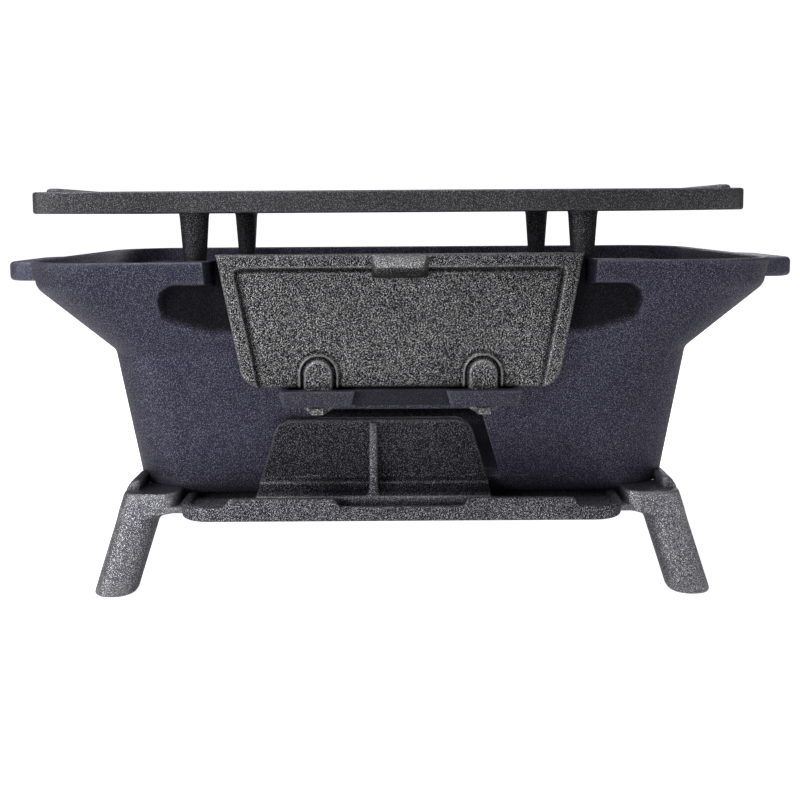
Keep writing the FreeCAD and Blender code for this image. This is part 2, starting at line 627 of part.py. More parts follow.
def make_draft_slider():
    """The sliding draft door: a plate parallel to the bowl's wall, turned out into a foot that
    slides behind the apron, with a finger fin in its middle."""
    height = "slider_top"
    rear_top = f"-({wall_line(height)} + slider_gap)"
    rear_crease = f"-({wall_line('slider_crease')} + slider_gap)"
    foot_bottom = f"({TRAY_TOP} + sliding_gap)"
    foot_top = f"({foot_bottom} + foot_thick)"
    section = prism("slider_section", "YZ_Plane",
                    [(rear_top, height), (f"{rear_top} - slider_thick", height),
                     (f"{rear_crease} - slider_thick", "slider_crease"),
                     ("-foot_front + foot_thick", f"{foot_top} + foot_slope"), ("-foot_front", foot_top),
                     ("-foot_front", foot_bottom), (rear_crease, foot_bottom),
                     (rear_crease, "slider_crease")],
                    "draft_bottom_half * 2 + slider_overlap * 2")
    top = "(draft_top_half + slider_overlap)"
    low = "(draft_bottom_half + slider_overlap)"
    shape = prism("slider_shape", "XZ_Plane",
                  [(f"-{low}", foot_bottom), (low, foot_bottom), (low, "draft_bottom - slider_corner"),
                   (f"{top} + slider_lean", "slider_top - slider_corner"),
                   (f"{top} - slider_corner", "slider_top"), (f"-{top} + slider_corner", "slider_top"),
                   (f"-{top} - slider_lean", "slider_top - slider_corner"),
                   (f"-{low}", "draft_bottom - slider_corner")],
                  "foot_front + cut_past", middle=False)
    plate = common("slider_plate", [section, shape])
    fin = prism("slider_fin", "YZ_Plane",
                [(f"{rear_top} - slider_thick / 2", "slider_top - fin_drop"),
                 (f"{rear_top} - slider_thick - fin_top_reach", "slider_top - fin_drop"),
                 (f"{rear_top} - slider_thick - fin_knee_reach", "fin_knee"),
                 ("-foot_front + fin_setback", foot_top), (f"{rear_crease} - slider_thick / 2", foot_top)],
                "fin_thick")
    slider = fuse("draft_slider", [plate, fin])
    place(slider, "-slider_offset")
    return slider


def make_base():
    """The base casting: tray, front apron with air notches, four splayed legs, end curbs and
    the pads that carry the bowl."""
    tray = box("tray", ("-base_half_x", "-base_half_y", "tray_bottom"),
               ("base_half_x", "base_half_y", TRAY_TOP))
    apron = body("apron")
    plan = rounded(apron, "apron_plan", "apron_half", "apron_depth / 2", "apron_corner", "tray_bottom",
                   mid_y="-(apron_front - apron_depth / 2)")
    pad(apron, "apron_pad", plan, "apron_height")
    room = body("apron_room")
    room_plan = rounded(room, "apron_room_plan", "apron_half - apron_wall", "apron_depth / 2",
                        "apron_corner - apron_wall", TRAY_TOP,
                        mid_y="-(apron_front - apron_wall - apron_depth / 2)")
    pad(room, "apron_room_pad", room_plan, "apron_height")
    notches = [("-notch_middle_half", "notch_middle_half"), ("-notch_outer", "-notch_inner"),
               ("notch_inner", "notch_outer")]
    past_apron = "tray_bottom + apron_height + cut_past"
    cutters = [room, box("apron_back", ("-apron_half - cut_past", "-(apron_front - apron_reach)", TRAY_TOP),
                         ("apron_half + cut_past", "0", past_apron))]
    for i, (start, end) in enumerate(notches):
        cutters.append(box(f"apron_notch_{i}",
                           (start, "-(apron_front + cut_past)", "tray_bottom + apron_height - notch_depth"),
                           (end, "-(apron_front - apron_wall - cut_past)", past_apron)))
    pieces = [tray, cut("apron_frame", apron, cutters)]
    for face, fy in FACES:
        for side, sx in SIDES:
            pieces.append(make_leg(f"{face}_{side}", sx, fy))
            pieces.append(make_curb(f"curb_{face}_{side}", sx, fy))
    recess = body("bowl_recess")
    recess_plan = rounded(recess, "bowl_recess_plan", f"{FOOT_X} + recess_gap", f"{FOOT_Y} + recess_gap",
                          "foot_corner + recess_gap", TRAY_TOP)
    pad(recess, "bowl_recess_pad", recess_plan, "curb_top")
    frame = cut("base_frame", fuse("base_frame_solid", pieces), [recess])
    pads = [cylinder(f"pad_{side}", "pad_radius", f"bowl_bottom - {TRAY_TOP}",
                     f"{sx} * bolt_spacing / 2", "0", TRAY_TOP) for side, sx in SIDES]
    solid = fuse("base_solid", [frame] + pads)
    holes = [cylinder(f"base_bolt_hole_{side}", "bolt_radius + bolt_hole_gap", "apron_height",
                      f"{sx} * bolt_spacing / 2", "0", "tray_bottom - cut_past") for side, sx in SIDES]
    return cut("base", solid, holes)


def make_curb(name, sx, fy):
    """A short upright beside one corner of the bowl."""
    across = [f"{sx} * (base_half_x - curb_thick)", f"{sx} * base_half_x"]
    along = [f"{fy} * (base_half_y - curb_setback - curb_length)", f"{fy} * (base_half_y - curb_setback)"]
    across = across if sx > 0 else across[::-1]
    along = along if fy > 0 else along[::-1]
    return box(name, (across[0], along[0], "tray_bottom"), (across[1], along[1], "curb_top"))


def make_leg(name, sx, fy):
    """One leg, splayed outwards, with a web along the tray and a half-round front."""
    inner = "(base_half_x - leg_width)"
    web_z = "(tray_bottom - web_drop)"
    profile = [("base_half_x", "leg_top"), ("base_half_x + leg_splay", "0"),
               (f"{inner} + leg_splay", "0"),
               (f"{inner} + leg_splay * (1 - {web_z} / leg_top)", web_z),
               (f"{inner} - web_bend_reach", "tray_bottom - web_bend_drop"),
               (f"{inner} - web_reach", "tray_bottom"), (f"{inner} - web_reach", TRAY_TOP),
               (inner, "leg_top")]
    leg = prism(f"leg_{name}_block", "XZ_Plane", [(f"{sx} * ({x})", z) for x, z in profile],
                "leg_depth", offset=f"{-fy} * base_half_y", middle=False, reverse=fy < 0)
    face, half_height = number("base_half_y"), number("leg_top / 2")

    def outer_edge(edge):
        upright = abs(edge.Vertexes[0].Z - edge.Vertexes[-1].Z) > half_height
        return upright and math.isclose(abs(edge.CenterOfMass.y), face)

    return round_edges(f"leg_{name}", leg, "leg_round", outer_edge)


def make_grate(name, length, width, thick, bottom, corner, frame, spine, slot, pitch, count, mid_x):
    """A flat plate with two rows of slots that run front to back."""
    plate = body(name + "_plate")
    plan = rounded(plate, name + "_plan", f"{length} / 2", f"{width} / 2", corner, bottom, mid_x=mid_x)
    pad(plate, name + "_pad", plan, thick)
    for face, fy in FACES:
        reach = f"({width} / 2 - {frame} - {spine} / 2)"
        sketch = rounded(plate, f"{name}_slot_{face}", f"{slot} / 2", f"{reach} / 2",
                         f"{slot} * slot_roundness", bottom,
                         mid_x=f"({mid_x}) - {pitch} * ({count} - 1) / 2",
                         mid_y=f"{fy} * ({spine} / 2 + {reach} / 2)")
        pocket = plate.newObject("PartDesign::Pocket", f"{name}_pocket_{face}")
        pocket.Profile = sketch
        pocket.Type = "ThroughAll"
        pocket.Reversed = True
        pattern = plate.newObject("PartDesign::LinearPattern", f"{name}_slots_{face}")
        pattern.Originals = [pocket]
        pattern.Direction = (sketch, ["H_Axis"])
        bind(pattern, Length=f"{pitch} * ({count} - 1)", Occurrences=count)
        plate.Tip = pattern
    return plate


def make_cooking_grate():
    """The slotted grate, its raised end ribs and the four pegs it stands on."""
    middle = "-grate_offset"
    plate = make_grate("grate", "grate_length", "grate_width", "grate_thick", GRATE_BOTTOM, "grate_corner",
                       "grate_frame", "grate_spine", "slot_width", "slot_pitch", "slot_count", middle)
    pieces = [plate]
    for side, sx in SIDES:
        ends = (f"{middle} + {sx} * grate_length / 2",
                f"{middle} + {sx} * (grate_length / 2 - end_rib_width)")
        low, high = ends if sx < 0 else ends[::-1]
        pieces.append(box(f"end_rib_{side}", (low, "-end_rib_length / 2", GRATE_BOTTOM),
                          (high, "end_rib_length / 2", f"{GRATE_BOTTOM} + grate_thick + end_rib_rise")))
        for face, fy in FACES:
            x = f"{middle} + {sx} * peg_spacing_x / 2"
            y = f"{fy} * peg_spacing_y / 2"
            peg = doc.addObject("Part::Cone", f"peg_{face}_{side}")
            bind(peg, Radius1="peg_foot_radius", Radius2="peg_top_radius",
                 Height="grate_stand + resting_gap")
            place(peg, x, y, f"{SEAT} + resting_gap")
            boss = cylinder(f"peg_boss_{face}_{side}", "peg_boss", "grate_thick", x, y, GRATE_BOTTOM)
            pieces += [peg, boss]
    return fuse("cooking_grate", pieces)


def make_charcoal_grate():
    """The slotted plate that holds the charcoal above the ash."""
    plate = make_grate("coal", "coal_length", "coal_width", "coal_thick",
                       f"({COAL_BOTTOM} + resting_gap)", "coal_corner", "coal_frame", "coal_spine",
                       "coal_slot_width", "coal_slot_pitch", "coal_slot_count", "0")
    plate.Label = "charcoal_grate"
    return plate


def make_fasteners():
    """Two bolts through the bowl's floor, each with a washer and a wing nut under the tray."""
    pieces = {}
    washer_bottom = "(tray_bottom - washer_thick)"
    nut_bottom = f"({washer_bottom} - nut_height)"
    for side, sx in SIDES:
        x = f"{sx} * bolt_spacing / 2"
        shank_end = f"({nut_bottom} - bolt_tail)"
        shank = cylinder(f"shank_{side}", "bolt_radius", f"{FLOOR_TOP} - {shank_end} + bolt_head_thick / 2",
                         x, "0", shank_end)
        head = doc.addObject("Part::Cone", f"bolt_head_{side}")
        bind(head, Radius1="bolt_head_radius", Radius2="bolt_crown_radius", Height="bolt_head_thick")
        place(head, x, "0", FLOOR_TOP)
        pieces[f"bowl_bolt_{side}"] = fuse(f"bowl_bolt_{side}", [shank, head])

        disc = cylinder(f"washer_disc_{side}", "washer_radius", "washer_thick", x, "0", washer_bottom)
        bore = cylinder(f"washer_bore_{side}", "bolt_radius + bolt_hole_gap", "washer_thick + 2 * cut_past",
                        x, "0", f"{washer_bottom} - cut_past")
        pieces[f"washer_{side}"] = cut(f"washer_{side}", disc, [bore])

        hub = cylinder(f"nut_hub_{side}", "nut_radius", "nut_height", x, "0", nut_bottom)
        wing = [("wing_root", f"{nut_bottom} + wing_root_high"),
                ("wing_span / 2", f"{nut_bottom} - wing_tip_high"),
                ("wing_span / 2 - wing_tip_slope", f"{nut_bottom} - wing_drop"),
                ("wing_span / 2 - wing_tip_width", f"{nut_bottom} - wing_drop"),
                ("wing_root", f"{nut_bottom} + wing_root_low")]
        both = [(f"{x} - ({reach})", z) for reach, z in wing]
        both += [(f"{x} + ({reach})", z) for reach, z in reversed(wing)]
        wings = prism(f"wings_{side}", "XZ_Plane", both, "wing_thick")
        thread = cylinder(f"nut_bore_{side}", "bolt_radius + nut_thread_gap", "nut_height + 2 * wing_drop",
                          x, "0", f"{nut_bottom} - wing_drop")
        solid = fuse(f"nut_solid_{side}", [hub, wings])
        pieces[f"wing_nut_{side}"] = cut(f"wing_nut_{side}", solid, [thread])
    return pieces


parts = {
    "fire_bowl": make_fire_bowl(),
    "fuel_door": make_fuel_door(),
    "draft_slider": make_draft_slider(),
    "base": make_base(),
    "cooking_grate": make_cooking_grate(),
    "charcoal_grate": make_charcoal_grate(),
}
parts.update(make_fasteners())
doc.recompute()

faults = [f"{thing.Name} {thing.State}" for thing in doc.Objects
          if "Invalid" in thing.State or "Error" in thing.State]
for node, thing in parts.items():
    thing.Label = node
    if thing.Shape.isNull() or not thing.Shape.isValid() or thing.Shape.Volume < 1:
        faults.append(f"{node} has no valid shape")
if faults:
    raise RuntimeError("; ".join(faults))

os.makedirs("parts", exist_ok=True)
for node, thing in parts.items():
    thing.Shape.exportStep(os.path.join("parts", node + ".step"))
    box_of = thing.Shape.BoundBox
    print(f"{node:16s} {len(thing.Shape.Solids)} solid(s) {thing.Shape.Volume / 1000:9.1f} cm3  "
          f"x {box_of.XMin:7.1f} {box_of.XMax:7.1f}  y {box_of.YMin:7.1f} {box_of.YMax:7.1f}  "
          f"z {box_of.ZMin:7.1f} {box_of.ZMax:7.1f}")
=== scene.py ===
"""Finished castings of a hibachi grill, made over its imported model.

Sizes in this file are millimetres, in the model's own frame; a mesh is turned to metres when it
is made.  +X runs along the grill, the doors face -Y, +Z is up.
"""

import math

import bmesh
import bpy
import numpy as np
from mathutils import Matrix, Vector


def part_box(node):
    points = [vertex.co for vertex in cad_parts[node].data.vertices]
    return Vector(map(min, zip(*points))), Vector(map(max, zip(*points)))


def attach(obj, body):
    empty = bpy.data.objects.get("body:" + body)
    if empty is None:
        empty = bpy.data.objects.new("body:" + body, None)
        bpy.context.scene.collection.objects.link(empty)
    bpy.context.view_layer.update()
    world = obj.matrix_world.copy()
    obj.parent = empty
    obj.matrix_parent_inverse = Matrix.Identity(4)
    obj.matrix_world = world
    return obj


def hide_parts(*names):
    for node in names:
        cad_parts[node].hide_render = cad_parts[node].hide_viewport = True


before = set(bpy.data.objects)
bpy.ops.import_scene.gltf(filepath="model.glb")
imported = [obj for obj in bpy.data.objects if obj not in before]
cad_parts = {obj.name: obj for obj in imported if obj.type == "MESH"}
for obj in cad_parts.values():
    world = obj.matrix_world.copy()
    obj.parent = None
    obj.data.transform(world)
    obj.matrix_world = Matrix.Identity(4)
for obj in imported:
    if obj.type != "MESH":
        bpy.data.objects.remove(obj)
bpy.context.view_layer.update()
MM = 0.001


def corners(node):
    """Lowest and highest corner of a node of the model, in millimetres."""
    low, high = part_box(node)
    return np.array(low) / MM, np.array(high) / MM


BOWL_LOW, BOWL_HIGH = corners("fire_bowl")
DOOR_LOW, DOOR_HIGH = corners("fuel_door")
SLIDER_LOW, SLIDER_HIGH = corners("draft_slider")
BASE_LOW, BASE_HIGH = corners("base")
GRATE_LOW, GRATE_HIGH = corners("cooking_grate")
COAL_LOW, COAL_HIGH = corners("charcoal_grate")

# Bowl: rim, band under it, crease where the shoulder starts, foot of the leaning wall.
RIM_Z, RIM_ROLL = BOWL_HIGH[2], 1.5
RIM_X, RIM_Y = 215.0, BOWL_HIGH[1]
BAND_Z, CREASE_Z, WALL_Z = RIM_Z - 16, RIM_Z - 54, BOWL_LOW[2] + 11
WALL = 4.6
BENDS_Z = (WALL_Z, CREASE_Z, BAND_Z, RIM_Z)
BENDS_X = (RIM_X - 55, RIM_X - 43, RIM_X - 2.5, RIM_X)
BENDS_Y = (RIM_Y - 32.5, RIM_Y - 24, RIM_Y - 5, RIM_Y)
BENDS_RADIUS = (36, 38, 43, 45)

# Bowl's front: the door's stop, the pockets beside it, the gap in the band, both openings.
STOP_Y, STOP_INNER_Y = 106.3, 103.1
POCKET_X, POCKET_CORNER, BAND_END_X = 133.0, 9, 106.0
POCKET_Z, POCKET_TOP_Z = BAND_Z - 30, BAND_Z + 2.5
DRAFT_Z, DRAFT_HALF = (67.0, 108.0), (58, 46)
SILL_Z, OPENING_HALF = DOOR_HIGH[2] - 69.6, (79, 93.5)
FRONT_CELLS = [6, 2, 18, 9, 16, 16]
FRONT_COLUMNS = 2 * sum(FRONT_CELLS) + 1
DRAFT_CELLS, OPENING_CELLS = FRONT_CELLS[-1], sum(FRONT_CELLS[-2:])

# Door and its hinge: the hooks turn about the front bars of the ledge.
DOOR_Z, DOOR_TOP_Z = DOOR_HIGH[2] - 75, DOOR_HIGH[2]
DOOR_FACE_Y, DOOR_HALF, DOOR_CORNER, DOOR_ROLL = -113.5, (88, 102.5), 10, 2
BORDER_SIDE, BORDER_TOP, BORDER_CORNER = 8.2, 7.6, 4
PIVOT_Y, PIVOT_Z = -122.6, 118.85
HOOKS_X = (-46.0, 46.0)
HOOK_IN, HOOK_OUT, HOOK_HALF = 4.8, 8.8, 7.9
LEDGE_X, LEDGE_Z = 67.5, (114.5, 123.2)

# Draft slider, base and grates.
SLIDER_MIDDLE = (SLIDER_LOW[0] + SLIDER_HIGH[0]) / 2
TRAY_Z = (49.4, 53.4)
BOLTS_X = (-75.0, 75.0)
GRATE_MIDDLE = (GRATE_LOW[0] + GRATE_HIGH[0]) / 2
PLATE_Z = (GRATE_HIGH[2] - 14.6, GRATE_HIGH[2] - 2.6)


# Shapes: each is (points, faces), and several are merged into one piece.

def smooth_step(low, high, value):
    """0 below low, 1 above high, and an S-curve, 3t^2 - 2t^3, between them."""
    t = np.clip((value - low) / (high - low), 0, 1)
    return t * t * (3 - 2 * t)


def merged(*shapes):
    """Several shapes as one: the points one after another, the faces numbered on."""
    points, faces, start = [], [], 0
    for p, f in shapes:
        points.append(p)
        faces += [[i + start for i in face] for face in f]
        start += len(p)
    return np.concatenate(points), faces


def with_painted_shade(shape, painted_shade_weight):
    """A shape whose points also carry a weight of painted shade, 0 to 1, which darkens the skin's colour."""
    points, faces = shape
    return np.column_stack((points, np.broadcast_to(painted_shade_weight, len(points)))), faces


def mirrored(shape):
    """A shape and its mirror image across x = 0, the image's faces turned to stay outward."""
    points, faces = shape
    image = points.copy()
    image[:, 0] *= -1
    return merged(shape, (image, [face[::-1] for face in faces]))


def facing_front(shape):
    """A shape drawn in plan and raised, laid over so that its plan faces -Y: (x, y, z) goes to
    (x, -z, y)."""
    points, faces = shape
    return np.stack((points[:, 0], -points[:, 2], points[:, 1]), -1), faces


def skin(rings):
    """Closed body through rings of points, (ring, point, xyz): quads join neighbouring rings,
    and the first and last ring are each closed by one face."""
    count, size = rings.shape[:2]
    here = np.arange(count * size).reshape(count, size)
    after = np.roll(here, -1, axis=1)
    quads = np.stack((here[:-1], after[:-1], after[1:], here[1:]), -1).reshape(-1, 4)
    return rings.reshape(-1, 3), quads.tolist() + [here[0, ::-1].tolist(), here[-1].tolist()]


def over_edges(levels, edge, steps=4):
    """Heights and insets of a body whose two end edges are rounded over: a quarter circle of
    radius edge at each end, inset edge (1 - sin t) at edge (1 - cos t) from the end."""
    t = np.linspace(0, math.pi / 2, steps)
    inset, rise = edge * (1 - np.sin(t)), edge * (1 - np.cos(t))
    low, high = levels[0], levels[-1]
    middle = levels[(levels > low + edge * 1.05) & (levels < high - edge * 1.05)]
    heights = np.concatenate((low + rise, middle, (high - rise)[::-1]))
    return heights, np.concatenate((inset, np.zeros(len(middle)), inset[::-1]))


def stack(levels, x_low, x_high, y_low, y_high, radius, edge=1.2, steps=5):
    """Closed body of rounded rectangles, one at each level of z.  The sides and the corner radius
    are one number or one for each level, in line between levels; the rectangle is centre plus
    or minus (half size - radius), plus radius (cos a, sin a) round each corner."""
    levels = np.asarray(levels, float)
    heights, inset = over_edges(levels, edge)
    rows = [np.interp(heights, levels, np.broadcast_to(side, levels.shape))
            for side in (x_low, x_high, y_low, y_high, radius)]
    left, right, front, rear = rows[0] + inset, rows[1] - inset, rows[2] + inset, rows[3] - inset
    round_ = np.clip(rows[4] - inset, 0.05, np.minimum(right - left, rear - front) / 2 - 0.01)
    turn = np.linspace(0, math.pi / 2, steps)
    angle = (np.arange(4)[:, None] * math.pi / 2 - math.pi + turn).ravel()
    right_side = np.repeat([0, 1, 1, 0], steps)
    rear_side = np.repeat([0, 0, 1, 1], steps)
    left, right, front, rear, round_ = (row[:, None] for row in (left, right, front, rear, round_))
    x = np.where(right_side, right - round_, left + round_) + round_ * np.cos(angle)
    y = np.where(rear_side, rear - round_, front + round_) + round_ * np.sin(angle)
    return skin(np.stack((x, y, np.broadcast_to(heights[:, None], x.shape)), -1))


def turned(levels, radii, x, y, edge=1.0, steps=8):
    """Body of revolution about an upright axis at x, y: a circle of the level's radius at each
    level of z."""
    radii = np.asarray(radii, float)
    return stack(levels, x - radii, x + radii, y - radii, y + radii, radii, edge, steps)


def sheet(front, back, keep, wrap=False, closed_start=False):
    """Closed body of a sheet with holes, from two grids of points, (u, v, xyz), which may carry
    a fourth number, the weight of painted shade at a point.  The cells that are kept get a front and
    a back face, and a wall stands wherever a kept cell borders one that isn't.  wrap joins the
    last column to the first; closed_start has no wall at v = 0."""
    columns, rows = front.shape[:2]
    near = np.arange(columns * rows).reshape(columns, rows)
    if wrap:
        near = np.concatenate((near, near[:1]))
    far = near + columns * rows
    beside = np.pad(keep, ((1, 1), (0, 0)), mode="wrap" if wrap else "constant")
    above = np.pad(keep, ((0, 0), (1, 1)))
    if closed_start:
        above[:, 0] = keep[:, 0]
    starts_u = (beside[1:] & ~beside[:-1])[:columns]
    ends_u = (beside[:-1] & ~beside[1:])[:columns]
    starts_v = above[:, 1:] & ~above[:, :-1]
    ends_v = above[:, :-1] & ~above[:, 1:]
    n, f = near[:columns], far[:columns]
    walls = [
        (near[:-1, :-1], near[1:, :-1], near[1:, 1:], near[:-1, 1:], keep),
        (far[:-1, :-1], far[:-1, 1:], far[1:, 1:], far[1:, :-1], keep),
        (n[:, :-1], n[:, 1:], f[:, 1:], f[:, :-1], starts_u),
        (n[:, 1:], n[:, :-1], f[:, :-1], f[:, 1:], ends_u),
        (near[1:], near[:-1], far[:-1], far[1:], starts_v),
        (near[:-1], near[1:], far[1:], far[:-1], ends_v),
    ]
    quads = [np.stack((a[m], b[m], c[m], d[m]), -1) for a, b, c, d, m in walls]
    points = np.concatenate([grid.reshape(-1, grid.shape[2]) for grid in (front, back)])
    used, faces = np.unique(np.concatenate(quads), return_inverse=True)
    return points[used], faces.reshape(-1, 4).tolist()


def lines_through(keys, cells):
    """Grid lines from one key to the next, with the given number of cells in each gap, evenly
    spaced: keys are numbers, or a row of numbers each."""
    keys = np.asarray(keys, float)
    t = np.concatenate([i + np.arange(n) / n for i, n in enumerate(cells)] + [[len(cells)]])
    weight = np.clip(1 - np.abs(t[:, None] - np.arange(len(keys))), 0, 1)
    return weight @ keys


def corner_share(a, b):
    """How far a point at (a, b) from a corner square's inner corner moves in so that the corner
    turns round: by max(a, b) / hypot(a, b), and not at all outside the square."""
    return np.where((a > 0) & (b > 0), np.maximum(a, b) / np.maximum(np.hypot(a, b), 1e-9), 1)


def beyond_outline(across, up, radius):
    """Distance outside a rounded outline, from the distances past its two sides, each set in by
    the radius: hypot outside the corner, the larger of the two inside it, less the radius."""
    return np.hypot(np.maximum(across, 0), np.maximum(up, 0)) + np.minimum(np.maximum(across, up), 0) - radius


def round_corners(x, y, middle, half, radius):
    """Plan with its four corners rounded to the radius."""
    across, along = x - middle, y
    a = np.clip(np.abs(across) - (half[0] - radius), 0, None)
    b = np.clip(np.abs(along) - (half[1] - radius), 0, None)
    share = corner_share(a, b)
    return (middle + np.sign(across) * (np.abs(across) - a + a * share),
            np.sign(along) * (np.abs(along) - b + b * share))


# Bowl

def bowl_rows():
    """Rows of the bowl's wall from the middle of its floor to its rim: height, half length, half
    width and corner radius.  The floor turns up through a quarter circle, the wall leans out to
    the crease, the shoulder spreads to the band, and every bend is averaged over 4 mm."""
    t = np.linspace(0, math.pi / 2, 6)
    bend = WALL_Z - BOWL_LOW[2]
    foot = np.concatenate(([BOWL_LOW[2]], BOWL_LOW[2] + bend * (1 - np.cos(t))))
    keys = [WALL_Z, *DRAFT_Z, SILL_Z, CREASE_Z - 3, CREASE_Z + 3, POCKET_Z, BAND_Z, BAND_Z + 4,
            RIM_Z - RIM_ROLL]
    upper = lines_through(keys, [1, 12, 6, 4, 6, 4, 22, 4, 5])[1:]
    turn = np.linspace(0, math.pi / 2, 5)[1:]
    z = np.concatenate((foot, upper, RIM_Z - RIM_ROLL + RIM_ROLL * np.sin(turn)))
    inset = np.zeros(len(z))
    inset[0] = BENDS_Y[0]
    inset[1:7] = bend * (1 - np.sin(t))
    look = np.clip(z[:, None] + np.linspace(-2, 2, 9), WALL_Z, RIM_Z)
    half_x = np.interp(look, BENDS_Z, BENDS_X).mean(1) - inset
    half_y = np.interp(look, BENDS_Z, BENDS_Y).mean(1) - inset
    radius = np.maximum(np.interp(z, BENDS_Z, BENDS_RADIUS) - 0.82 * inset, 0)
    lip = np.zeros(len(z))
    lip[-4:] = RIM_ROLL * (1 - np.cos(turn))
    return z, half_x, half_y, radius, lip


def bowl_ring(z, half_x, half_y, radius, plan_z):
    """Points round the bowl, (column, row, xyz), anticlockwise from the front's left end.  The
    front's columns follow the draft opening, the door opening, the ends of the band and the
    pockets, which plan_z places."""
    end, straight_y = half_x - radius, half_y - radius
    draft = np.interp(plan_z, DRAFT_Z, DRAFT_HALF)
    door = np.interp(plan_z, (SILL_Z, RIM_Z), OPENING_HALF)
    places = ((draft, 0.5), (door, 0.66), (BAND_END_X, 0.8), (POCKET_X, 0.965), (POCKET_X + 3, 0.985), (end, 1))
    keys = [np.minimum(place, end * share) for place, share in places]
    keys = np.stack([-key for key in keys[::-1]] + [keys[0] * 0] + keys)
    front_x = lines_through(keys, FRONT_CELLS + FRONT_CELLS[::-1])
    rear_x = np.linspace(1, -1, 25)[:, None] * end
    side_y = np.linspace(-1, 1, 13)[:, None] * straight_y
    arc = np.linspace(0, math.pi / 2, 11)[1:-1, None]

    def run(x, y):
        return np.stack(np.broadcast_arrays(x, y, z), -1)

    def corner(sx, sy, start):
        return run(sx * end + radius * np.cos(start + arc), sy * straight_y + radius * np.sin(start + arc))

    return np.concatenate((
        run(front_x, -half_y), corner(1, -1, -math.pi / 2), run(half_x, side_y), corner(1, 1, 0),
        run(rear_x, half_y), corner(-1, 1, math.pi / 2), run(-half_x, -side_y), corner(-1, -1, math.pi)))


def bowl_shell():
    """The bowl's wall with its two openings.  Where a pocket or the gap in the band lies, the
    outside steps in to the stop's face: y = natural - s (natural - floor), s being 1 inside
    that outline and 0 outside it, and the hollow stays clear behind that stop.  The faces
    stepped in carry painted shade, full once they lie 3 mm in."""
    z, half_x, half_y, radius, lip = bowl_rows()
    outside = bowl_ring(z, half_x - lip, half_y - lip, radius, z)
    inner_z = z + WALL * np.clip((CREASE_Z - z) / (CREASE_Z - WALL_Z), 0, 1)
    inner = np.where(np.arange(len(z)) == 0, 0, WALL) - lip
    inside = bowl_ring(inner_z, half_x - inner, half_y - inner, np.maximum(radius - inner, 0), z)

    x, y, height = (outside[:FRONT_COLUMNS, :, i] for i in range(3))
    reach = np.abs(x)
    past_middle = np.abs(height - (POCKET_Z + POCKET_TOP_Z) / 2)
    pocket = beyond_outline(reach - POCKET_X + POCKET_CORNER,
                            past_middle - (POCKET_TOP_Z - POCKET_Z) / 2 + POCKET_CORNER, POCKET_CORNER)
    gap = np.maximum(reach - BAND_END_X, POCKET_Z - height)
    floor = STOP_Y + 4 * np.clip((reach - BAND_END_X) / (POCKET_X - BAND_END_X), 0, 1)
    inside_recess = smooth_step(0.8, -0.8, np.minimum(pocket, gap))
    shade = smooth_step(0, 3, -y - floor)
    outside[:FRONT_COLUMNS, :, 1] = y + inside_recess * np.maximum(-y - floor, 0)

    x, y, height = (inside[:FRONT_COLUMNS, :, i] for i in range(3))
    behind = smooth_step(0.8, -0.8, np.maximum(np.abs(x) - POCKET_X - 3, POCKET_Z - height))
    inside[:FRONT_COLUMNS, :, 1] = y + behind * np.maximum(-y - STOP_INNER_Y, 0)

    keep = np.ones((len(outside), len(z) - 1), bool)
    middle = FRONT_COLUMNS // 2
    row = (z[1:] + z[:-1]) / 2
    keep[middle - DRAFT_CELLS:middle + DRAFT_CELLS] &= ~((row > DRAFT_Z[0]) & (row < DRAFT_Z[1]))
    keep[middle - OPENING_CELLS:middle + OPENING_CELLS] &= ~(row > SILL_Z)
    # Painted shade on the outside's faces stepped in at the pockets and the gap in the band; the inside carries
    # none.
    painted_shade_weight = np.zeros((2, *outside.shape[:2], 1))
    painted_shade_weight[0, :FRONT_COLUMNS, :, 0] = inside_recess * shade
    outside, inside = (np.concatenate(face, -1) for face in ((outside, painted_shade_weight[0]), (inside, painted_shade_weight[1])))
    return sheet(outside, inside, keep, wrap=True, closed_start=True)


def bowl_handles():
    """A thick tab at each end, its outer corners round, its edges rolled over."""
    top = RIM_Z - 3
    return mirrored(stack([top - 12, top], RIM_X - 5, BOWL_HIGH[0], -42, 42, 16, edge=2.6, steps=9))


def hinge_ledge():
    """The ledge under the door: a set-back bar, and a slotted block at each end whose front bar
    is the hinge pin.  A block is a sheet in plan with one cell left out; its outer corners
    come in by 2.5 mm towards the bottom."""
    low, high = LEDGE_Z
    bar = stack([low, high], -LEDGE_X + 3, LEDGE_X - 3, -118.6, -86, 1.2, edge=1.4)
    x = lines_through([25, HOOKS_X[1] - 8.7, HOOKS_X[1] + 8.7, LEDGE_X], [3, 6, 4])
    y = lines_through([-124.6, -120.6, -113.0, -86], [1, 2, 4])
    x, y = np.meshgrid(x, y, indexing="ij")
    keep = np.ones((x.shape[0] - 1, x.shape[1] - 1), bool)
    keep[3:9, 1:3] = False
    top = np.stack((x, y, np.full_like(x, high)), -1)
    squeeze = np.clip((x - 60) / 7.5, 0, 1) - np.clip((31 - x) / 6, 0, 1)
    bottom = np.stack((x - 2.5 * squeeze, y, np.full_like(x, low)), -1)
    # Painted shade: strong on the set-back bar under the door, lighter on the end blocks.
    return with_painted_shade(bar, 0.85), mirrored(with_painted_shade(sheet(top, bottom, keep), 0.35))


def grate_seats():
    """Two brackets beside each other in each corner, the left one higher, rooted in the wall: a
    front one ends in the stop's wall, a rear one follows the shoulder's slope."""
    high_levels = [RIM_Z - 45, BAND_Z, RIM_Z - 5]
    low_levels = [RIM_Z - 45, RIM_Z - 30, RIM_Z - 22]
    shapes = []
    for x in (-117.2, 104.4):
        for front, high_rear, low_rear in ((-104.6, -87.5, -87.5),
                                           (87.5, [103.0, 117.6, 121.5], [103.0, 110.6, 114.6])):
            shapes.append(stack(high_levels, x - 12.4, x + 7.6, front, np.array(high_rear), 2))
            shapes.append(stack(low_levels, x + 7.4, x + 27.6, front, np.array(low_rear), 2))
    return merged(*shapes)


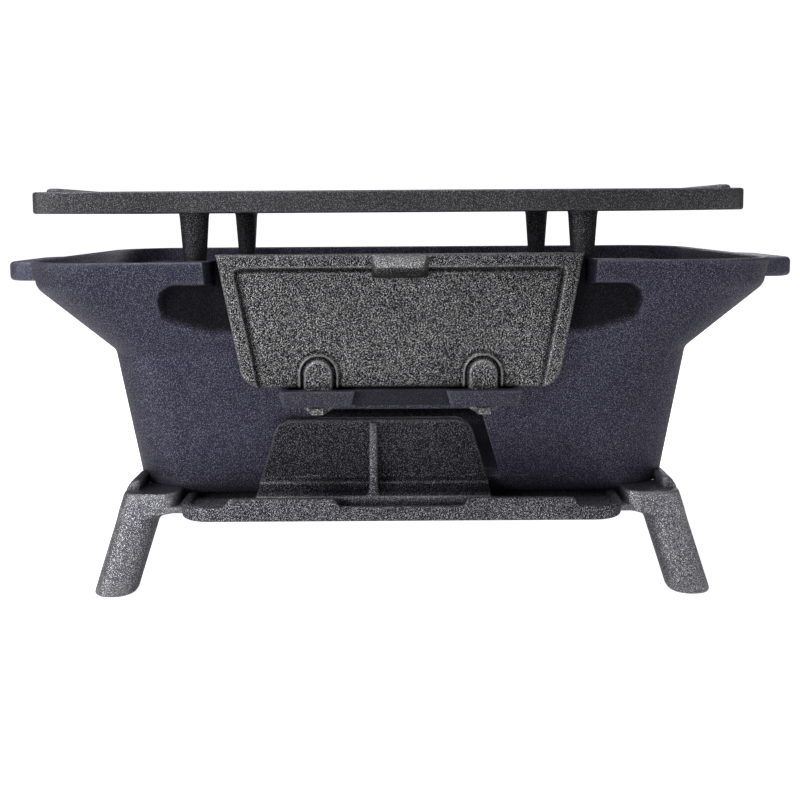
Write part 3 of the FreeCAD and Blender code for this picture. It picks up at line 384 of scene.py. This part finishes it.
def coal_shelves():
    """Four uprights on the end walls, under the corners of the charcoal grate."""
    post = [stack([BOWL_LOW[2] + 3, COAL_LOW[2] - 0.3], 138, np.array([158, 164.5]), y - 15, y + 15, 2)
            for y in (-45, 45)]
    return mirrored(merged(*post))


# Fuel door

def door_height(x, z):
    """How far the door's front stands out from its plate, at x and z, and how much painted shade
    it carries there in the grooves.  A border at the top and the sides, an arch and a tongue over
    each hook, each rising in an S-curve across its edge, less the quarter circle that rolls the
    outer edge over; a sunk channel runs along each rise, and the grooves are darkened by painted shade."""
    half = np.interp(z, (DOOR_Z, DOOR_TOP_Z), DOOR_HALF)
    side, top, foot = half - np.abs(x), DOOR_TOP_Z - z, z - DOOR_Z
    frame_out = beyond_outline(BORDER_SIDE - side + BORDER_CORNER, BORDER_TOP - top + BORDER_CORNER,
                               BORDER_CORNER)
    rise = 1.5 * smooth_step(-0.6, 0.6, frame_out) - 0.9 * smooth_step(1.5, 0, np.abs(frame_out + 1.3))
    groove_shade = smooth_step(1.5, 0.2, np.abs(frame_out + 1.2))
    for hook in HOOKS_X:
        away = np.hypot(x - hook, np.maximum(z - DOOR_Z - 8.1, 0))
        groove_shade = np.maximum(groove_shade, smooth_step(1.0, 0.2, np.abs(away - 9.3)))
        groove_shade = np.maximum(groove_shade, 0.8 * smooth_step(1.2, 0.2, np.abs(away - 12.4)))
        rise += 1.9 * smooth_step(11.7, 10.7, away) - 2.4 * smooth_step(10.3, 9.3, away)
        rise += 5.2 * smooth_step(8.9, 7.4, away)
    corner = np.where((side < DOOR_CORNER) & (foot < DOOR_CORNER),
                      DOOR_CORNER - np.hypot(DOOR_CORNER - side, DOOR_CORNER - foot), np.minimum(side, foot))
    near = np.clip(np.minimum(corner, top), 0, DOOR_ROLL)
    roll = DOOR_ROLL - np.sqrt(np.maximum(DOOR_ROLL ** 2 - (DOOR_ROLL - near) ** 2, 0))
    return rise - roll, groove_shade


def door_panel():
    """The door's plate: a tapered grid with its two lower corners rounded; its front is the
    plate's face plus door_height, its back is flat."""
    u = lines_through([-1, -0.99, -0.97, -0.9, -0.68, -0.36, 0, 0.36, 0.68, 0.9, 0.97, 0.99, 1],
                      [3, 2, 10, 7, 44, 12, 12, 44, 7, 10, 2, 3])
    v = lines_through([0, 0.03, 0.3, 0.86, 0.97, 1], [5, 24, 18, 12, 5])
    u, v = np.meshgrid(u, v, indexing="ij")
    z = DOOR_Z + v * (DOOR_TOP_Z - DOOR_Z)
    half = np.interp(z, (DOOR_Z, DOOR_TOP_Z), DOOR_HALF)
    a = np.clip(np.abs(u) * half - (half - DOOR_CORNER), 0, None)
    b = np.clip(DOOR_Z + DOOR_CORNER - z, 0, None)
    share = corner_share(a, b)
    x = np.sign(u) * (np.abs(u) * half - a + a * share)
    z = z + b - b * share
    rise, groove_shade = door_height(x, z)
    # The fourth number is painted shade along the grooves.
    front = np.stack((x, DOOR_FACE_Y - rise, z, groove_shade), -1)
    back = np.stack((x, np.full_like(x, DOOR_HIGH[1]), z, np.zeros_like(x)), -1)
    return sheet(front, back, np.ones((x.shape[0] - 1, x.shape[1] - 1), bool))


def finger_lip():
    """The lip in the middle of the door's top: sections from the door outwards, whose sides come
    in and whose top slopes down."""
    top = DOOR_TOP_Z
    out = [110, 116.5, 120.5, -DOOR_LOW[1]]
    half = np.array([15.5, 15.5, 14.4, 13.2])
    lip = facing_front(stack(out, -half, half, [top - 13.5, top - 13.2, top - 12.4, top - 11.6],
                             [top, top - 0.4, top - 3.6, top - 6.4], 1.4, edge=1.3))
    # Painted shade on the lip's lower part, the undercut under its nose, fading in between 6.6 and 8.2 mm below
    # the door's top.
    return with_painted_shade(lip, smooth_step(top - 6.6, top - 8.2, lip[0][:, 2]))


def hooks():
    """Two straps that drop behind the ledge's bar and curl under it: inner and outer faces are a
    line down and then an arc about the hinge, carried across the strap's width, which comes in
    along a circle so that the end looks round from the front."""
    drop = np.linspace(DOOR_Z + 2.5, PIVOT_Z, 6)[:-1]
    turn = np.radians(np.linspace(0, -100, 15))
    shapes = []
    for hook in HOOKS_X:
        rise = HOOK_OUT * (1 + np.sin(turn)) + 0.4
        half = np.sqrt(14 ** 2 - np.maximum(14 - rise, 0) ** 2)
        half = np.minimum(np.concatenate((np.full(5, HOOK_HALF), half)), HOOK_HALF)
        x = hook + lines_through([-1, -0.85, 0.85, 1], [2, 5, 2])[:, None] * half
        faces = []
        for reach in (HOOK_OUT, HOOK_IN):
            y = np.concatenate((np.full(5, PIVOT_Y + reach), PIVOT_Y + reach * np.cos(turn)))
            z = np.concatenate((drop, PIVOT_Z + reach * np.sin(turn)))
            faces.append(np.stack(np.broadcast_arrays(x, y, z), -1))
        shapes.append(sheet(faces[0], faces[1], np.ones((9, 19), bool)))
    return merged(*shapes)


# Draft slider

def slider_plate():
    """The sliding door: its section, a leaning plate that turns out through two small steps to a
    foot, carried across a tapered width with rounded top corners."""
    top, low, corner = SLIDER_HIGH[2], SLIDER_LOW[2], 8
    z = np.array([top, top - 0.5, top - 1.6, 100, 96, 90, 82, 74, 70, 68.6, 67.9, 67.2, 66.4, 65, 63.4, 62.2,
                  61.5, 61.0, 60.5, 59.7, 57, 54.6, low])[::-1]
    y = -np.array([100.0, 101.0, 101.4, 101.1, 100.7, 100.0, 99.1, 98.2, 97.8, 98.0, 98.9, 100.7, 102.2,
                   102.9, 103.8, 105.3, 107.6, 110.4, 111.6, 112, 112, 112, 111.2])[::-1]
    rear = np.minimum(-97.2 + (top - z) * 0.114, -93.06)
    rear_z = np.maximum(z, low)
    half = np.interp(z, (low, 60, 67, top), (66.6, 67, 66, 55))
    u = lines_through([-1, -0.97, -0.85, 0, 0.85, 0.97, 1], [3, 4, 10, 10, 4, 3])
    x = u[:, None] * half
    height = np.broadcast_to(z, x.shape)
    a = np.clip(np.abs(x) - (half - corner), 0, None)
    b = np.clip(height - (top - corner), 0, None)
    share = corner_share(a, b)
    x = np.sign(x) * (np.abs(x) - a + a * share)
    height = height - b + b * share
    roll = np.clip((half - np.abs(x)) / 1.6, 0, 1)
    out = np.broadcast_to(y, x.shape) + 1.2 * (1 - np.sqrt(1 - (1 - roll) ** 2))
    # Painted shade: the leaning plate, the steep face between the steps and the foot's front are darkened, so
    # the crease and the foot's top stay lighter as lit faces.
    shaded = (0.65 * smooth_step(67.8, 69.5, height) + 0.45 * smooth_step(60.2, 59.2, height)
              + 0.8 * smooth_step(61.2, 62.4, height) * smooth_step(66.2, 65.0, height))
    x = SLIDER_MIDDLE + x
    front = np.stack((x, out, height, shaded), -1)
    back = np.stack((x, np.broadcast_to(rear, x.shape), height - (z - rear_z), np.zeros_like(x)), -1)
    return sheet(front, back, np.ones((x.shape[0] - 1, x.shape[1] - 1), bool))


def slider_fin():
    """The finger fin in the slider's middle: upright below the top, leaning out under its knee,
    and flared where it meets the foot."""
    levels = [58, 60.6, 61.6, 63.2, 66, 90, 101.5]
    half = np.array([5.2, 4.6, 3.6, 2.9, 2.5, 2.4, 2.3])
    front = [-111.4, -111.2, -110.9, -110.5, -109.9, -106.0, -103.0]
    return stack(levels, SLIDER_MIDDLE - half, SLIDER_MIDDLE + half, front, -98, 1.5, edge=0.9)


# Base

def base_tray():
    """The flat tray, its front extension under the apron, and the two pads that carry the bowl."""
    low, high = TRAY_Z
    tray = stack([low, high], -160.4, 160.4, -105.3, 105.3, 6)
    front = stack([low + 0.4, high - 0.2], -124.8, 124.8, BASE_LOW[1] + 1.2, -70, 17, steps=9)
    pads = [turned([high - 1, BOWL_LOW[2]], [15, 15], x, 0, edge=0.4) for x in BOLTS_X]
    return merged(tray, front, *pads)


def apron():
    """The apron's wall: a rounded upright section carried along the front and round both corners.
    Its top drops 4.7 mm in the middle and towards both ends, down ramps 4 mm long."""
    t = np.linspace(0, math.pi / 2, 9)
    x = np.concatenate(([126, 126], 108 + 18 * np.cos(t)[1:-1], np.linspace(108, 0, 82)))
    y = np.concatenate(([-86, -104], -104 - 18 * np.sin(t)[1:-1], np.full(82, BASE_LOW[1])))
    x, y = np.concatenate((x, -x[-2::-1])), np.concatenate((y, y[-2::-1]))
    along = np.stack((np.gradient(x), np.gradient(y)), -1)
    along /= np.linalg.norm(along, axis=1)[:, None]
    inward = np.stack((along[:, 1], -along[:, 0]), -1)
    reach = np.abs(x)
    ramp = 2.2
    notch = smooth_step(36 + ramp, 36 - ramp, reach)
    ends = smooth_step(98 - ramp, 98 + ramp, reach)
    top = TRAY_Z[0] + 12.8 - 4.7 * np.maximum(notch, ends)
    across = np.array([0.3, 0.0, 0.0, 0.35, 1.2, 3.8, 4.65, 5.0, 5.0])
    drop = np.array([0.0, 0.0, 1.2, 0.35, 0.0, 0.0, 0.35, 1.2, 0.0])
    on_top = np.array([0, 0, 1, 1, 1, 1, 1, 1, 0], bool)
    z = np.where(on_top, top[:, None] - drop, TRAY_Z[0] + 1.0)
    z[:, 0] = TRAY_Z[0] + 0.3
    points = np.stack((x[:, None] + inward[:, :1] * across, y[:, None] + inward[:, 1:] * across, z), -1)
    return skin(points[:, ::-1])


def legs():
    """Four splayed legs: plan sections with a half-round outer face, moving out to the foot; the
    inner side turns in to the tray through a small arc."""
    levels = np.array([0, 10, 20, 30, 38, 42, 44.4, 46.3, 47.8, 48.8, 49.4, 52, 56, 61])
    inner = np.interp(levels, (0, 42, 44.4, 46.3, 47.8, 48.8, 49.4),
                      (156.6, 143, 141.6, 139.2, 135.6, 131.5, 128.5))
    outer = 161 + 20 * (1 - levels / 61)
    radius = np.interp(levels, (44, 50), (11, 9))
    return mirrored(merged(*(stack(levels, inner, outer, front, front + 26, radius, edge=1.6, steps=8)
                             for front in (-106, 80))))


def corner_posts():
    """A short upright beside each corner of the bowl, its outer side leaning in."""
    levels, inner, outer = [50, 58, 62, BASE_HIGH[2]], [153, 153, 152.4, 151.6], [163, 161.8, 160.4, 157.2]
    posts = [stack(levels, inner, outer, front, front + 26, 2.4, edge=2) for front in (-97, 71)]
    return mirrored(merged(*posts))


# Grates

def slotted_plate(low, high, half, corner, frame_width, spine, slot, pitch, count, middle):
    """A plate with two rows of slots: a plan grid whose lines lie on the slots' edges, with the
    slots' cells left out, its corners rounded."""
    first = middle - pitch * (count - 1) / 2
    centres = first + pitch * np.arange(count)
    edges = np.stack((centres - slot / 2, centres + slot / 2), 1)
    left, right = middle - half[0], middle + half[0]
    x = np.concatenate((left + corner * np.array([0, 0.25, 0.55]), edges.ravel(),
                        right - corner * np.array([0.55, 0.25, 0])))
    inner, outer = spine / 2, half[1] - frame_width
    y = np.concatenate(([0.0], [inner, inner + 1.2, inner + 3], np.linspace(inner + 12, outer - 12, 5),
                        [outer - 3, outer - 1.2, outer], half[1] - corner * np.array([0.55, 0.25, 0])))
    y = np.sort(np.unique(np.concatenate((-y, y))))
    keep = np.ones((len(x) - 1, len(y) - 1), bool)
    mid_x, mid_y = (x[1:] + x[:-1]) / 2, np.abs(y[1:] + y[:-1]) / 2
    in_slot = (np.abs(mid_x[:, None] - edges.mean(1)) < slot / 2).any(1)
    keep &= ~(in_slot[:, None] & ((mid_y > inner) & (mid_y < outer)))
    x, y = np.meshgrid(x, y, indexing="ij")
    index = np.clip(np.round((x - first) / pitch), 0, count - 1)
    centre = first + index * pitch
    near_end = np.minimum(np.abs(y) - inner, outer - np.abs(y))
    pinch = np.where((near_end >= -0.01) & (np.abs(np.abs(x - centre) - slot / 2) < 0.01),
                     np.interp(near_end, (0, 1.2, 3), (0.55, 0.86, 1)), 1)
    x = centre + (x - centre) * pinch
    x, y = round_corners(x, y, middle, half, corner)
    upper = np.stack((x, y, np.full_like(x, high)), -1)
    lower = np.stack((x, y, np.full_like(x, low)), -1)
    return sheet(upper, lower, keep)


def grate_furniture():
    """The raised rib along each end of the cooking grate, and the four tapered pegs it stands on,
    each flared under the plate."""
    shapes = []
    for start in (GRATE_LOW[0] + 0.4, GRATE_HIGH[0] - 9.4):
        shapes.append(stack([PLATE_Z[0] + 4, GRATE_HIGH[2]], start, start + 9, -92, 92, 3.5, edge=2.2, steps=7))
    levels = GRATE_LOW[2] + np.array([0, 29, 31, 32.4, 34])
    for x in (GRATE_MIDDLE - 110.8, GRATE_MIDDLE + 110.8):
        for y in (-95.5, 95.5):
            shapes.append(turned(levels, [6.2, 8.2, 8.5, 9.3, 10], x, y, edge=1.2))
    return merged(*shapes)


# Finishes

def add_node(tree, kind, inputs=(), **settings):
    """A node with its settings and its plain input values; an input that is a socket is linked."""
    made = tree.nodes.new(kind)
    for name, value in settings.items():
        setattr(made, name, value)
    for name, value in dict(inputs).items():
        if isinstance(value, bpy.types.NodeSocket):
            tree.links.new(value, made.inputs[name])
        else:
            made.inputs[name].default_value = value
    return made


def link_colours(tree, mix, a, b):
    """Links the two colour inputs of a Mix node, which share their names with its others."""
    first, second = [s for s in mix.inputs if s.type == "RGBA"]
    tree.links.new(a, first)
    tree.links.new(b, second)


def colour_out(mix):
    """The colour output of a Mix node."""
    return next(s for s in mix.outputs if s.type == "RGBA")


def sand_cast_group():
    """Skin of iron cast in sand.  Fine noise gives the grain, its upper half is speckled and its
    highest peaks glint; a broad noise gives patches of seasoning; edges that stick out are
    rubbed lighter, and the attribute "painted_shade" darkens the skin as painted shade."""
    tree = bpy.data.node_groups.new("sand_cast_skin", "ShaderNodeTree")
    for name, kind, value in (("Shade", "Color", (0.03, 0.03, 0.035, 1)),
                              ("Speck", "Color", (0.4, 0.4, 0.42, 1)),
                              ("Speck Amount", "Float", 0.5), ("Sparkle Amount", "Float", 0.5),
                              ("Roughness", "Float", 0.56), ("Grain Scale", "Float", 1900.0),
                              ("Patches", "Float", 0.2), ("Rubbed Edges", "Float", 0.4)):
        socket = tree.interface.new_socket(name, in_out="INPUT", socket_type=f"NodeSocket{kind}")
        socket.default_value = value
    for name, kind in (("Color", "Color"), ("Roughness", "Float"), ("Height", "Float")):
        tree.interface.new_socket(name, in_out="OUTPUT", socket_type=f"NodeSocket{kind}")
    given = tree.nodes.new("NodeGroupInput").outputs
    place = add_node(tree, "ShaderNodeTexCoord").outputs["Object"]
    place = add_node(tree, "ShaderNodeMapping",
                     {"Vector": place, "Rotation": (0.52, 0.37, 0.81)}).outputs["Vector"]
    grain = add_node(tree, "ShaderNodeTexNoise",
                     {"Vector": place, "Scale": given["Grain Scale"], "Detail": 2.0,
                                                  "Roughness": 0.65}).outputs["Fac"]
    lumps = add_node(tree, "ShaderNodeTexNoise",
                     {"Vector": place, "Scale": 260.0, "Detail": 1.0}).outputs["Fac"]
    broad = add_node(tree, "ShaderNodeTexNoise",
                     {"Vector": place, "Scale": 16.0, "Detail": 3.0}).outputs["Fac"]
    peaks = add_node(tree, "ShaderNodeMapRange", {"Value": grain, "From Min": 0.49, "From Max": 0.64})
    specks = add_node(tree, "ShaderNodeMath", {0: peaks.outputs["Result"], 1: given["Speck Amount"]},
                      operation="MULTIPLY")
    glints = add_node(tree, "ShaderNodeMapRange", {"Value": grain, "From Min": 0.57, "From Max": 0.62})
    glints = add_node(tree, "ShaderNodeMath", {0: glints.outputs["Result"], 1: given["Sparkle Amount"]},
                      operation="MULTIPLY")
    specks = add_node(tree, "ShaderNodeMath", {0: specks.outputs["Value"], 1: glints.outputs["Value"]},
                      operation="MAXIMUM").outputs["Value"]
    speckled = add_node(tree, "ShaderNodeMix", {"Factor": specks, "A": given["Shade"], "B": given["Speck"]},
                        data_type="RGBA")
    link_colours(tree, speckled, given["Shade"], given["Speck"])
    patch = add_node(tree, "ShaderNodeMapRange", {"Value": broad, "From Min": 0.3, "From Max": 0.7,
                                                  "To Min": -1.0, "To Max": 1.0}).outputs["Result"]
    shift = add_node(tree, "ShaderNodeMath", {0: patch, 1: given["Patches"], 2: 1.0},
                     operation="MULTIPLY_ADD").outputs["Value"]
    edge = add_node(tree, "ShaderNodeNewGeometry").outputs["Pointiness"]
    edge = add_node(tree, "ShaderNodeMapRange",
                    {"Value": edge, "From Min": 0.51, "From Max": 0.60}).outputs["Result"]
    edge = add_node(tree, "ShaderNodeMath", {0: edge, 1: given["Rubbed Edges"]},
                    operation="MULTIPLY").outputs["Value"]
    rubbed = add_node(tree, "ShaderNodeMix", {"Factor": edge}, data_type="RGBA")
    link_colours(tree, rubbed, colour_out(speckled), given["Speck"])
    # Painted shade: where the attribute is 1 the colour falls to 0.12 of itself.
    painted_shade = add_node(tree, "ShaderNodeAttribute", attribute_name="painted_shade").outputs["Fac"]
    light = add_node(tree, "ShaderNodeMapRange",
                     {"Value": painted_shade, "To Min": 1.0, "To Max": 0.12}).outputs["Result"]
    shift = add_node(tree, "ShaderNodeMath", {0: shift, 1: light}, operation="MULTIPLY").outputs["Value"]
    shaded = add_node(tree, "ShaderNodeVectorMath", {0: colour_out(rubbed)}, operation="SCALE")
    tree.links.new(shift, shaded.inputs["Scale"])
    rough = add_node(tree, "ShaderNodeMath",
                     {0: specks, 1: -0.16, 2: given["Roughness"]}, operation="MULTIPLY_ADD")
    rough = add_node(tree, "ShaderNodeMath", {0: patch, 1: 0.05, 2: rough.outputs["Value"]},
                     operation="MULTIPLY_ADD")
    height = add_node(tree, "ShaderNodeMath", {0: lumps, 1: 0.7, 2: grain}, operation="MULTIPLY_ADD")
    out = tree.nodes.new("NodeGroupOutput").inputs
    tree.links.new(shaded.outputs["Vector"], out["Color"])
    tree.links.new(rough.outputs["Value"], out["Roughness"])
    tree.links.new(height.outputs["Value"], out["Height"])
    return tree


def cast_iron(name, shade, speck, amount, sparkle, grain=1900.0, metallic=0.8, roughness=0.56):
    """A cast-iron finish: the sand-cast skin with this casting's own colours and grain."""
    material = bpy.data.materials.new(name)
    material.use_nodes = True
    tree = material.node_tree
    shader = tree.nodes["Principled BSDF"]
    cast = add_node(tree, "ShaderNodeGroup",
                    {"Shade": (*shade, 1), "Speck": (*speck, 1), "Speck Amount": amount,
                     "Sparkle Amount": sparkle, "Grain Scale": grain, "Patches": 0.2, "Rubbed Edges": 0.4,
                     "Roughness": roughness}, node_tree=SAND_CAST)
    relief = add_node(tree, "ShaderNodeBump", {"Height": cast.outputs["Height"], "Strength": 0.6,
                                               "Distance": 0.0006})
    tree.links.new(cast.outputs["Color"], shader.inputs["Base Color"])
    tree.links.new(cast.outputs["Roughness"], shader.inputs["Roughness"])
    tree.links.new(relief.outputs["Normal"], shader.inputs["Normal"])
    shader.inputs["Metallic"].default_value = metallic
    material.diffuse_color = (*shade, 1)
    return material


def plated_steel():
    """Dull zinc plating: a light grey metal with fine mottling in its colour and its gloss."""
    material = bpy.data.materials.new("zinc_plated_steel")
    material.use_nodes = True
    tree = material.node_tree
    shader = tree.nodes["Principled BSDF"]
    place = add_node(tree, "ShaderNodeTexCoord").outputs["Object"]
    mottle = add_node(tree, "ShaderNodeTexNoise",
                      {"Vector": place, "Scale": 420.0, "Detail": 4.0}).outputs["Fac"]
    colour = add_node(tree, "ShaderNodeValToRGB", {"Fac": mottle})
    colour.color_ramp.elements[0].color = (0.30, 0.30, 0.32, 1)
    colour.color_ramp.elements[1].color = (0.56, 0.56, 0.58, 1)
    gloss = add_node(tree, "ShaderNodeMapRange", {"Value": mottle, "To Min": 0.3, "To Max": 0.5})
    tree.links.new(colour.outputs["Color"], shader.inputs["Base Color"])
    tree.links.new(gloss.outputs["Result"], shader.inputs["Roughness"])
    shader.inputs["Metallic"].default_value = 1.0
    return material


# Pieces

def piece(name, shape, material, body, slot, replaces=(), round_over=0.0):
    """Puts a shape into the scene as one piece: metres, doubles merged, smooth, its sharp edges
    rounded by a Bevel where a radius is given; it rides on its body."""
    points, faces = shape
    mesh = bpy.data.meshes.new(name)
    mesh.from_pydata(points[:, :3] * MM, [], faces)
    if points.shape[1] > 3:
        mesh.attributes.new("painted_shade", "FLOAT", "POINT").data.foreach_set("value", points[:, 3])
    work = bmesh.new()
    work.from_mesh(mesh)
    bmesh.ops.remove_doubles(work, verts=work.verts, dist=2e-6)
    bmesh.ops.dissolve_degenerate(work, edges=work.edges, dist=1e-7)
    work.to_mesh(mesh)
    work.free()
    mesh.shade_smooth()
    made = bpy.data.objects.new(name, mesh)
    bpy.context.scene.collection.objects.link(made)
    mesh.materials.append(material)
    if round_over:
        bevel = made.modifiers.new("rolled_edges", "BEVEL")
        bevel.width = round_over * MM
        bevel.segments = 3
        bevel.limit_method = "ANGLE"
        bevel.angle_limit = math.radians(52)
        bevel.use_clamp_overlap = False
    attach(made, body)
    if replaces:
        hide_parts(*replaces)


SAND_CAST = sand_cast_group()
BOWL_IRON = cast_iron("seasoned_bowl_iron", (0.027, 0.024, 0.048), (0.42, 0.42, 0.52), 0.22, 0.62,
                      grain=2000.0)
DOOR_IRON = cast_iron("bright_door_iron", (0.010, 0.0095, 0.013), (1.0, 0.99, 1.0), 0.25, 0.95)
SLIDER_IRON = cast_iron("slider_iron", (0.016, 0.015, 0.028), (0.9, 0.9, 0.94), 0.15, 0.75)
BASE_IRON = cast_iron("speckled_base_iron", (0.020, 0.019, 0.031), (0.9, 0.9, 0.95), 0.28, 0.8)
# Painted light: the legs are the base's own casting, given a lighter copy of its finish for the light that
# falls on them.
LEG_IRON_PAINTED_LIGHT = cast_iron("leg_iron_painted_light", (0.075, 0.075, 0.105), (1.0, 1.0, 1.0), 0.45, 1.0, metallic=0.95,
                     roughness=0.40)
GRATE_IRON = cast_iron("cooking_grate_iron", (0.010, 0.009, 0.012), (0.42, 0.42, 0.44), 0.22, 0.6)
COAL_IRON = cast_iron("charcoal_grate_iron", (0.040, 0.038, 0.038), (0.40, 0.38, 0.37), 0.3, 0.2)
ZINC = plated_steel()

BOWL = ("grill_body", "bowl_iron")
piece("bowl_shell", bowl_shell(), BOWL_IRON, *BOWL, replaces=["fire_bowl"], round_over=0.6)
piece("bowl_end_handles", bowl_handles(), BOWL_IRON, *BOWL)
ledge_bar, ledge_blocks = hinge_ledge()
piece("hinge_ledge_bar", ledge_bar, BOWL_IRON, *BOWL)
piece("hinge_ledge_blocks", ledge_blocks, BOWL_IRON, *BOWL, round_over=1.1)
piece("grate_seats", grate_seats(), BOWL_IRON, *BOWL)
piece("coal_shelves", coal_shelves(), BOWL_IRON, *BOWL)

piece("door_panel", door_panel(), DOOR_IRON, "fuel_door", "door_iron", replaces=["fuel_door"])
piece("door_finger_lip", finger_lip(), DOOR_IRON, "fuel_door", "door_iron")
piece("door_hooks", hooks(), DOOR_IRON, "fuel_door", "door_iron", round_over=0.8)

piece("slider_plate", slider_plate(), SLIDER_IRON, "draft_slider", "slider_iron", replaces=["draft_slider"])
piece("slider_fin", slider_fin(), SLIDER_IRON, "draft_slider", "slider_iron")

BASE = ("grill_body", "base_iron")
piece("base_tray", base_tray(), BASE_IRON, *BASE, replaces=["base"])
piece("base_apron", apron(), BASE_IRON, *BASE)
piece("base_legs", legs(), LEG_IRON_PAINTED_LIGHT, *BASE)
piece("base_corner_posts", corner_posts(), BASE_IRON, *BASE)

piece("cooking_grate_plate", slotted_plate(*PLATE_Z, (197.5, 118), 10, 11, 10, 8, 14.4, 26, GRATE_MIDDLE),
      GRATE_IRON, "cooking_grate", "grate_iron", replaces=["cooking_grate"], round_over=1.3)
piece("cooking_grate_pegs", grate_furniture(), GRATE_IRON, "cooking_grate", "grate_iron")
piece("charcoal_grate_plate", slotted_plate(COAL_LOW[2], COAL_HIGH[2], (146, 80), 22, 14, 12, 8, 16, 16, 0.0),
      COAL_IRON, "charcoal_grate", "coal_iron", replaces=["charcoal_grate"], round_over=1.1)

for kind in ("bowl_bolt", "washer", "wing_nut"):
    for side in ("left", "right"):
        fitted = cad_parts[f"{kind}_{side}"]
        fitted.data.materials.clear()
        fitted.data.materials.append(ZINC)


# Studio

def studio():
    """A pale floor that curves up behind and glows for the camera, four soft lights (a key from
    the left, a weak fill from the right, one behind, one above), a dim world and the camera."""
    t = np.linspace(0, 1, 40)
    bend = np.clip((t - 0.6) / 0.4, 0, 1) * math.pi / 2
    y = np.where(t < 0.6, -3 + t / 0.6 * 5, 2 + 1.5 * np.sin(bend))
    z = np.where(t < 0.6, 0, 1.5 * (1 - np.cos(bend)))
    y, z = np.append(y, y[-1]), np.append(z, 5.0)
    x = np.linspace(-6, 6, 3)[:, None]
    points = np.stack(np.broadcast_arrays(x, y, z), -1)
    index = np.arange(points.shape[0] * points.shape[1]).reshape(points.shape[:2])
    quads = np.stack((index[:-1, :-1], index[1:, :-1], index[1:, 1:], index[:-1, 1:]), -1).reshape(-1, 4)
    mesh = bpy.data.meshes.new("studio_floor")
    mesh.from_pydata(points.reshape(-1, 3), [], quads.tolist())
    mesh.shade_smooth()
    floor = bpy.data.objects.new("studio_floor", mesh)
    bpy.context.scene.collection.objects.link(floor)
    paper = bpy.data.materials.new("pale_paper")
    paper.use_nodes = True
    surface = paper.node_tree.nodes["Principled BSDF"].inputs
    surface["Base Color"].default_value = (0.8, 0.8, 0.8, 1)
    surface["Roughness"].default_value = 0.9
    surface["Emission Color"].default_value = (1, 1, 1, 1)
    seen = add_node(paper.node_tree, "ShaderNodeLightPath").outputs["Is Camera Ray"]
    glow = add_node(paper.node_tree, "ShaderNodeMapRange", {"Value": seen, "To Min": 0.12, "To Max": 0.95})
    paper.node_tree.links.new(glow.outputs["Result"], surface["Emission Strength"])
    mesh.materials.append(paper)

    for name, place, aim, size, power in (
            ("key_light", (-0.72, -0.92, 0.30), (-0.20, 0, 0.10), 0.45, 4.9),
            ("fill_light", (1.0, -0.5, 0.25), (0.2, 0, 0.10), 0.4, 0.6),
            ("rear_light", (0.5, 1.5, 0.7), (0, 0, 0.1), 0.8, 6),
            ("top_light", (-0.25, -0.15, 1.3), (0, 0, 0.1), 0.8, 17)):
        lamp = bpy.data.lights.new(name, "AREA")
        lamp.shape, lamp.size, lamp.energy = "SQUARE", size, power
        holder = bpy.data.objects.new(name, lamp)
        bpy.context.scene.collection.objects.link(holder)
        holder.location = place
        way = np.array(aim) - np.array(place)
        holder.rotation_euler = (math.atan2(math.hypot(way[0], way[1]), -way[2]), 0,
                                 math.atan2(-way[0], way[1]))

    world = bpy.data.worlds.new("studio_world")
    bpy.context.scene.world = world
    world.use_nodes = True
    tree = world.node_tree
    seen = add_node(tree, "ShaderNodeLightPath").outputs["Is Camera Ray"]
    strength = add_node(tree, "ShaderNodeMapRange", {"Value": seen, "To Min": 0.07, "To Max": 1.0})
    tree.nodes["Background"].inputs["Color"].default_value = (1, 1, 1, 1)
    tree.links.new(strength.outputs["Result"], tree.nodes["Background"].inputs["Strength"])

    lens = bpy.data.cameras.new("view_camera")
    lens.lens, lens.sensor_width, lens.shift_y = 44.13, 36, -0.130
    camera = bpy.data.objects.new("view_camera", lens)
    bpy.context.scene.collection.objects.link(camera)
    camera.location = (0.0002, -0.65707, 0.22042)
    camera.rotation_euler = (math.radians(85.23), math.radians(0.367), 0)
    bpy.context.scene.camera = camera
    bpy.context.scene.view_settings.view_transform = "Standard"


studio()

bpy.context.view_layer.update()
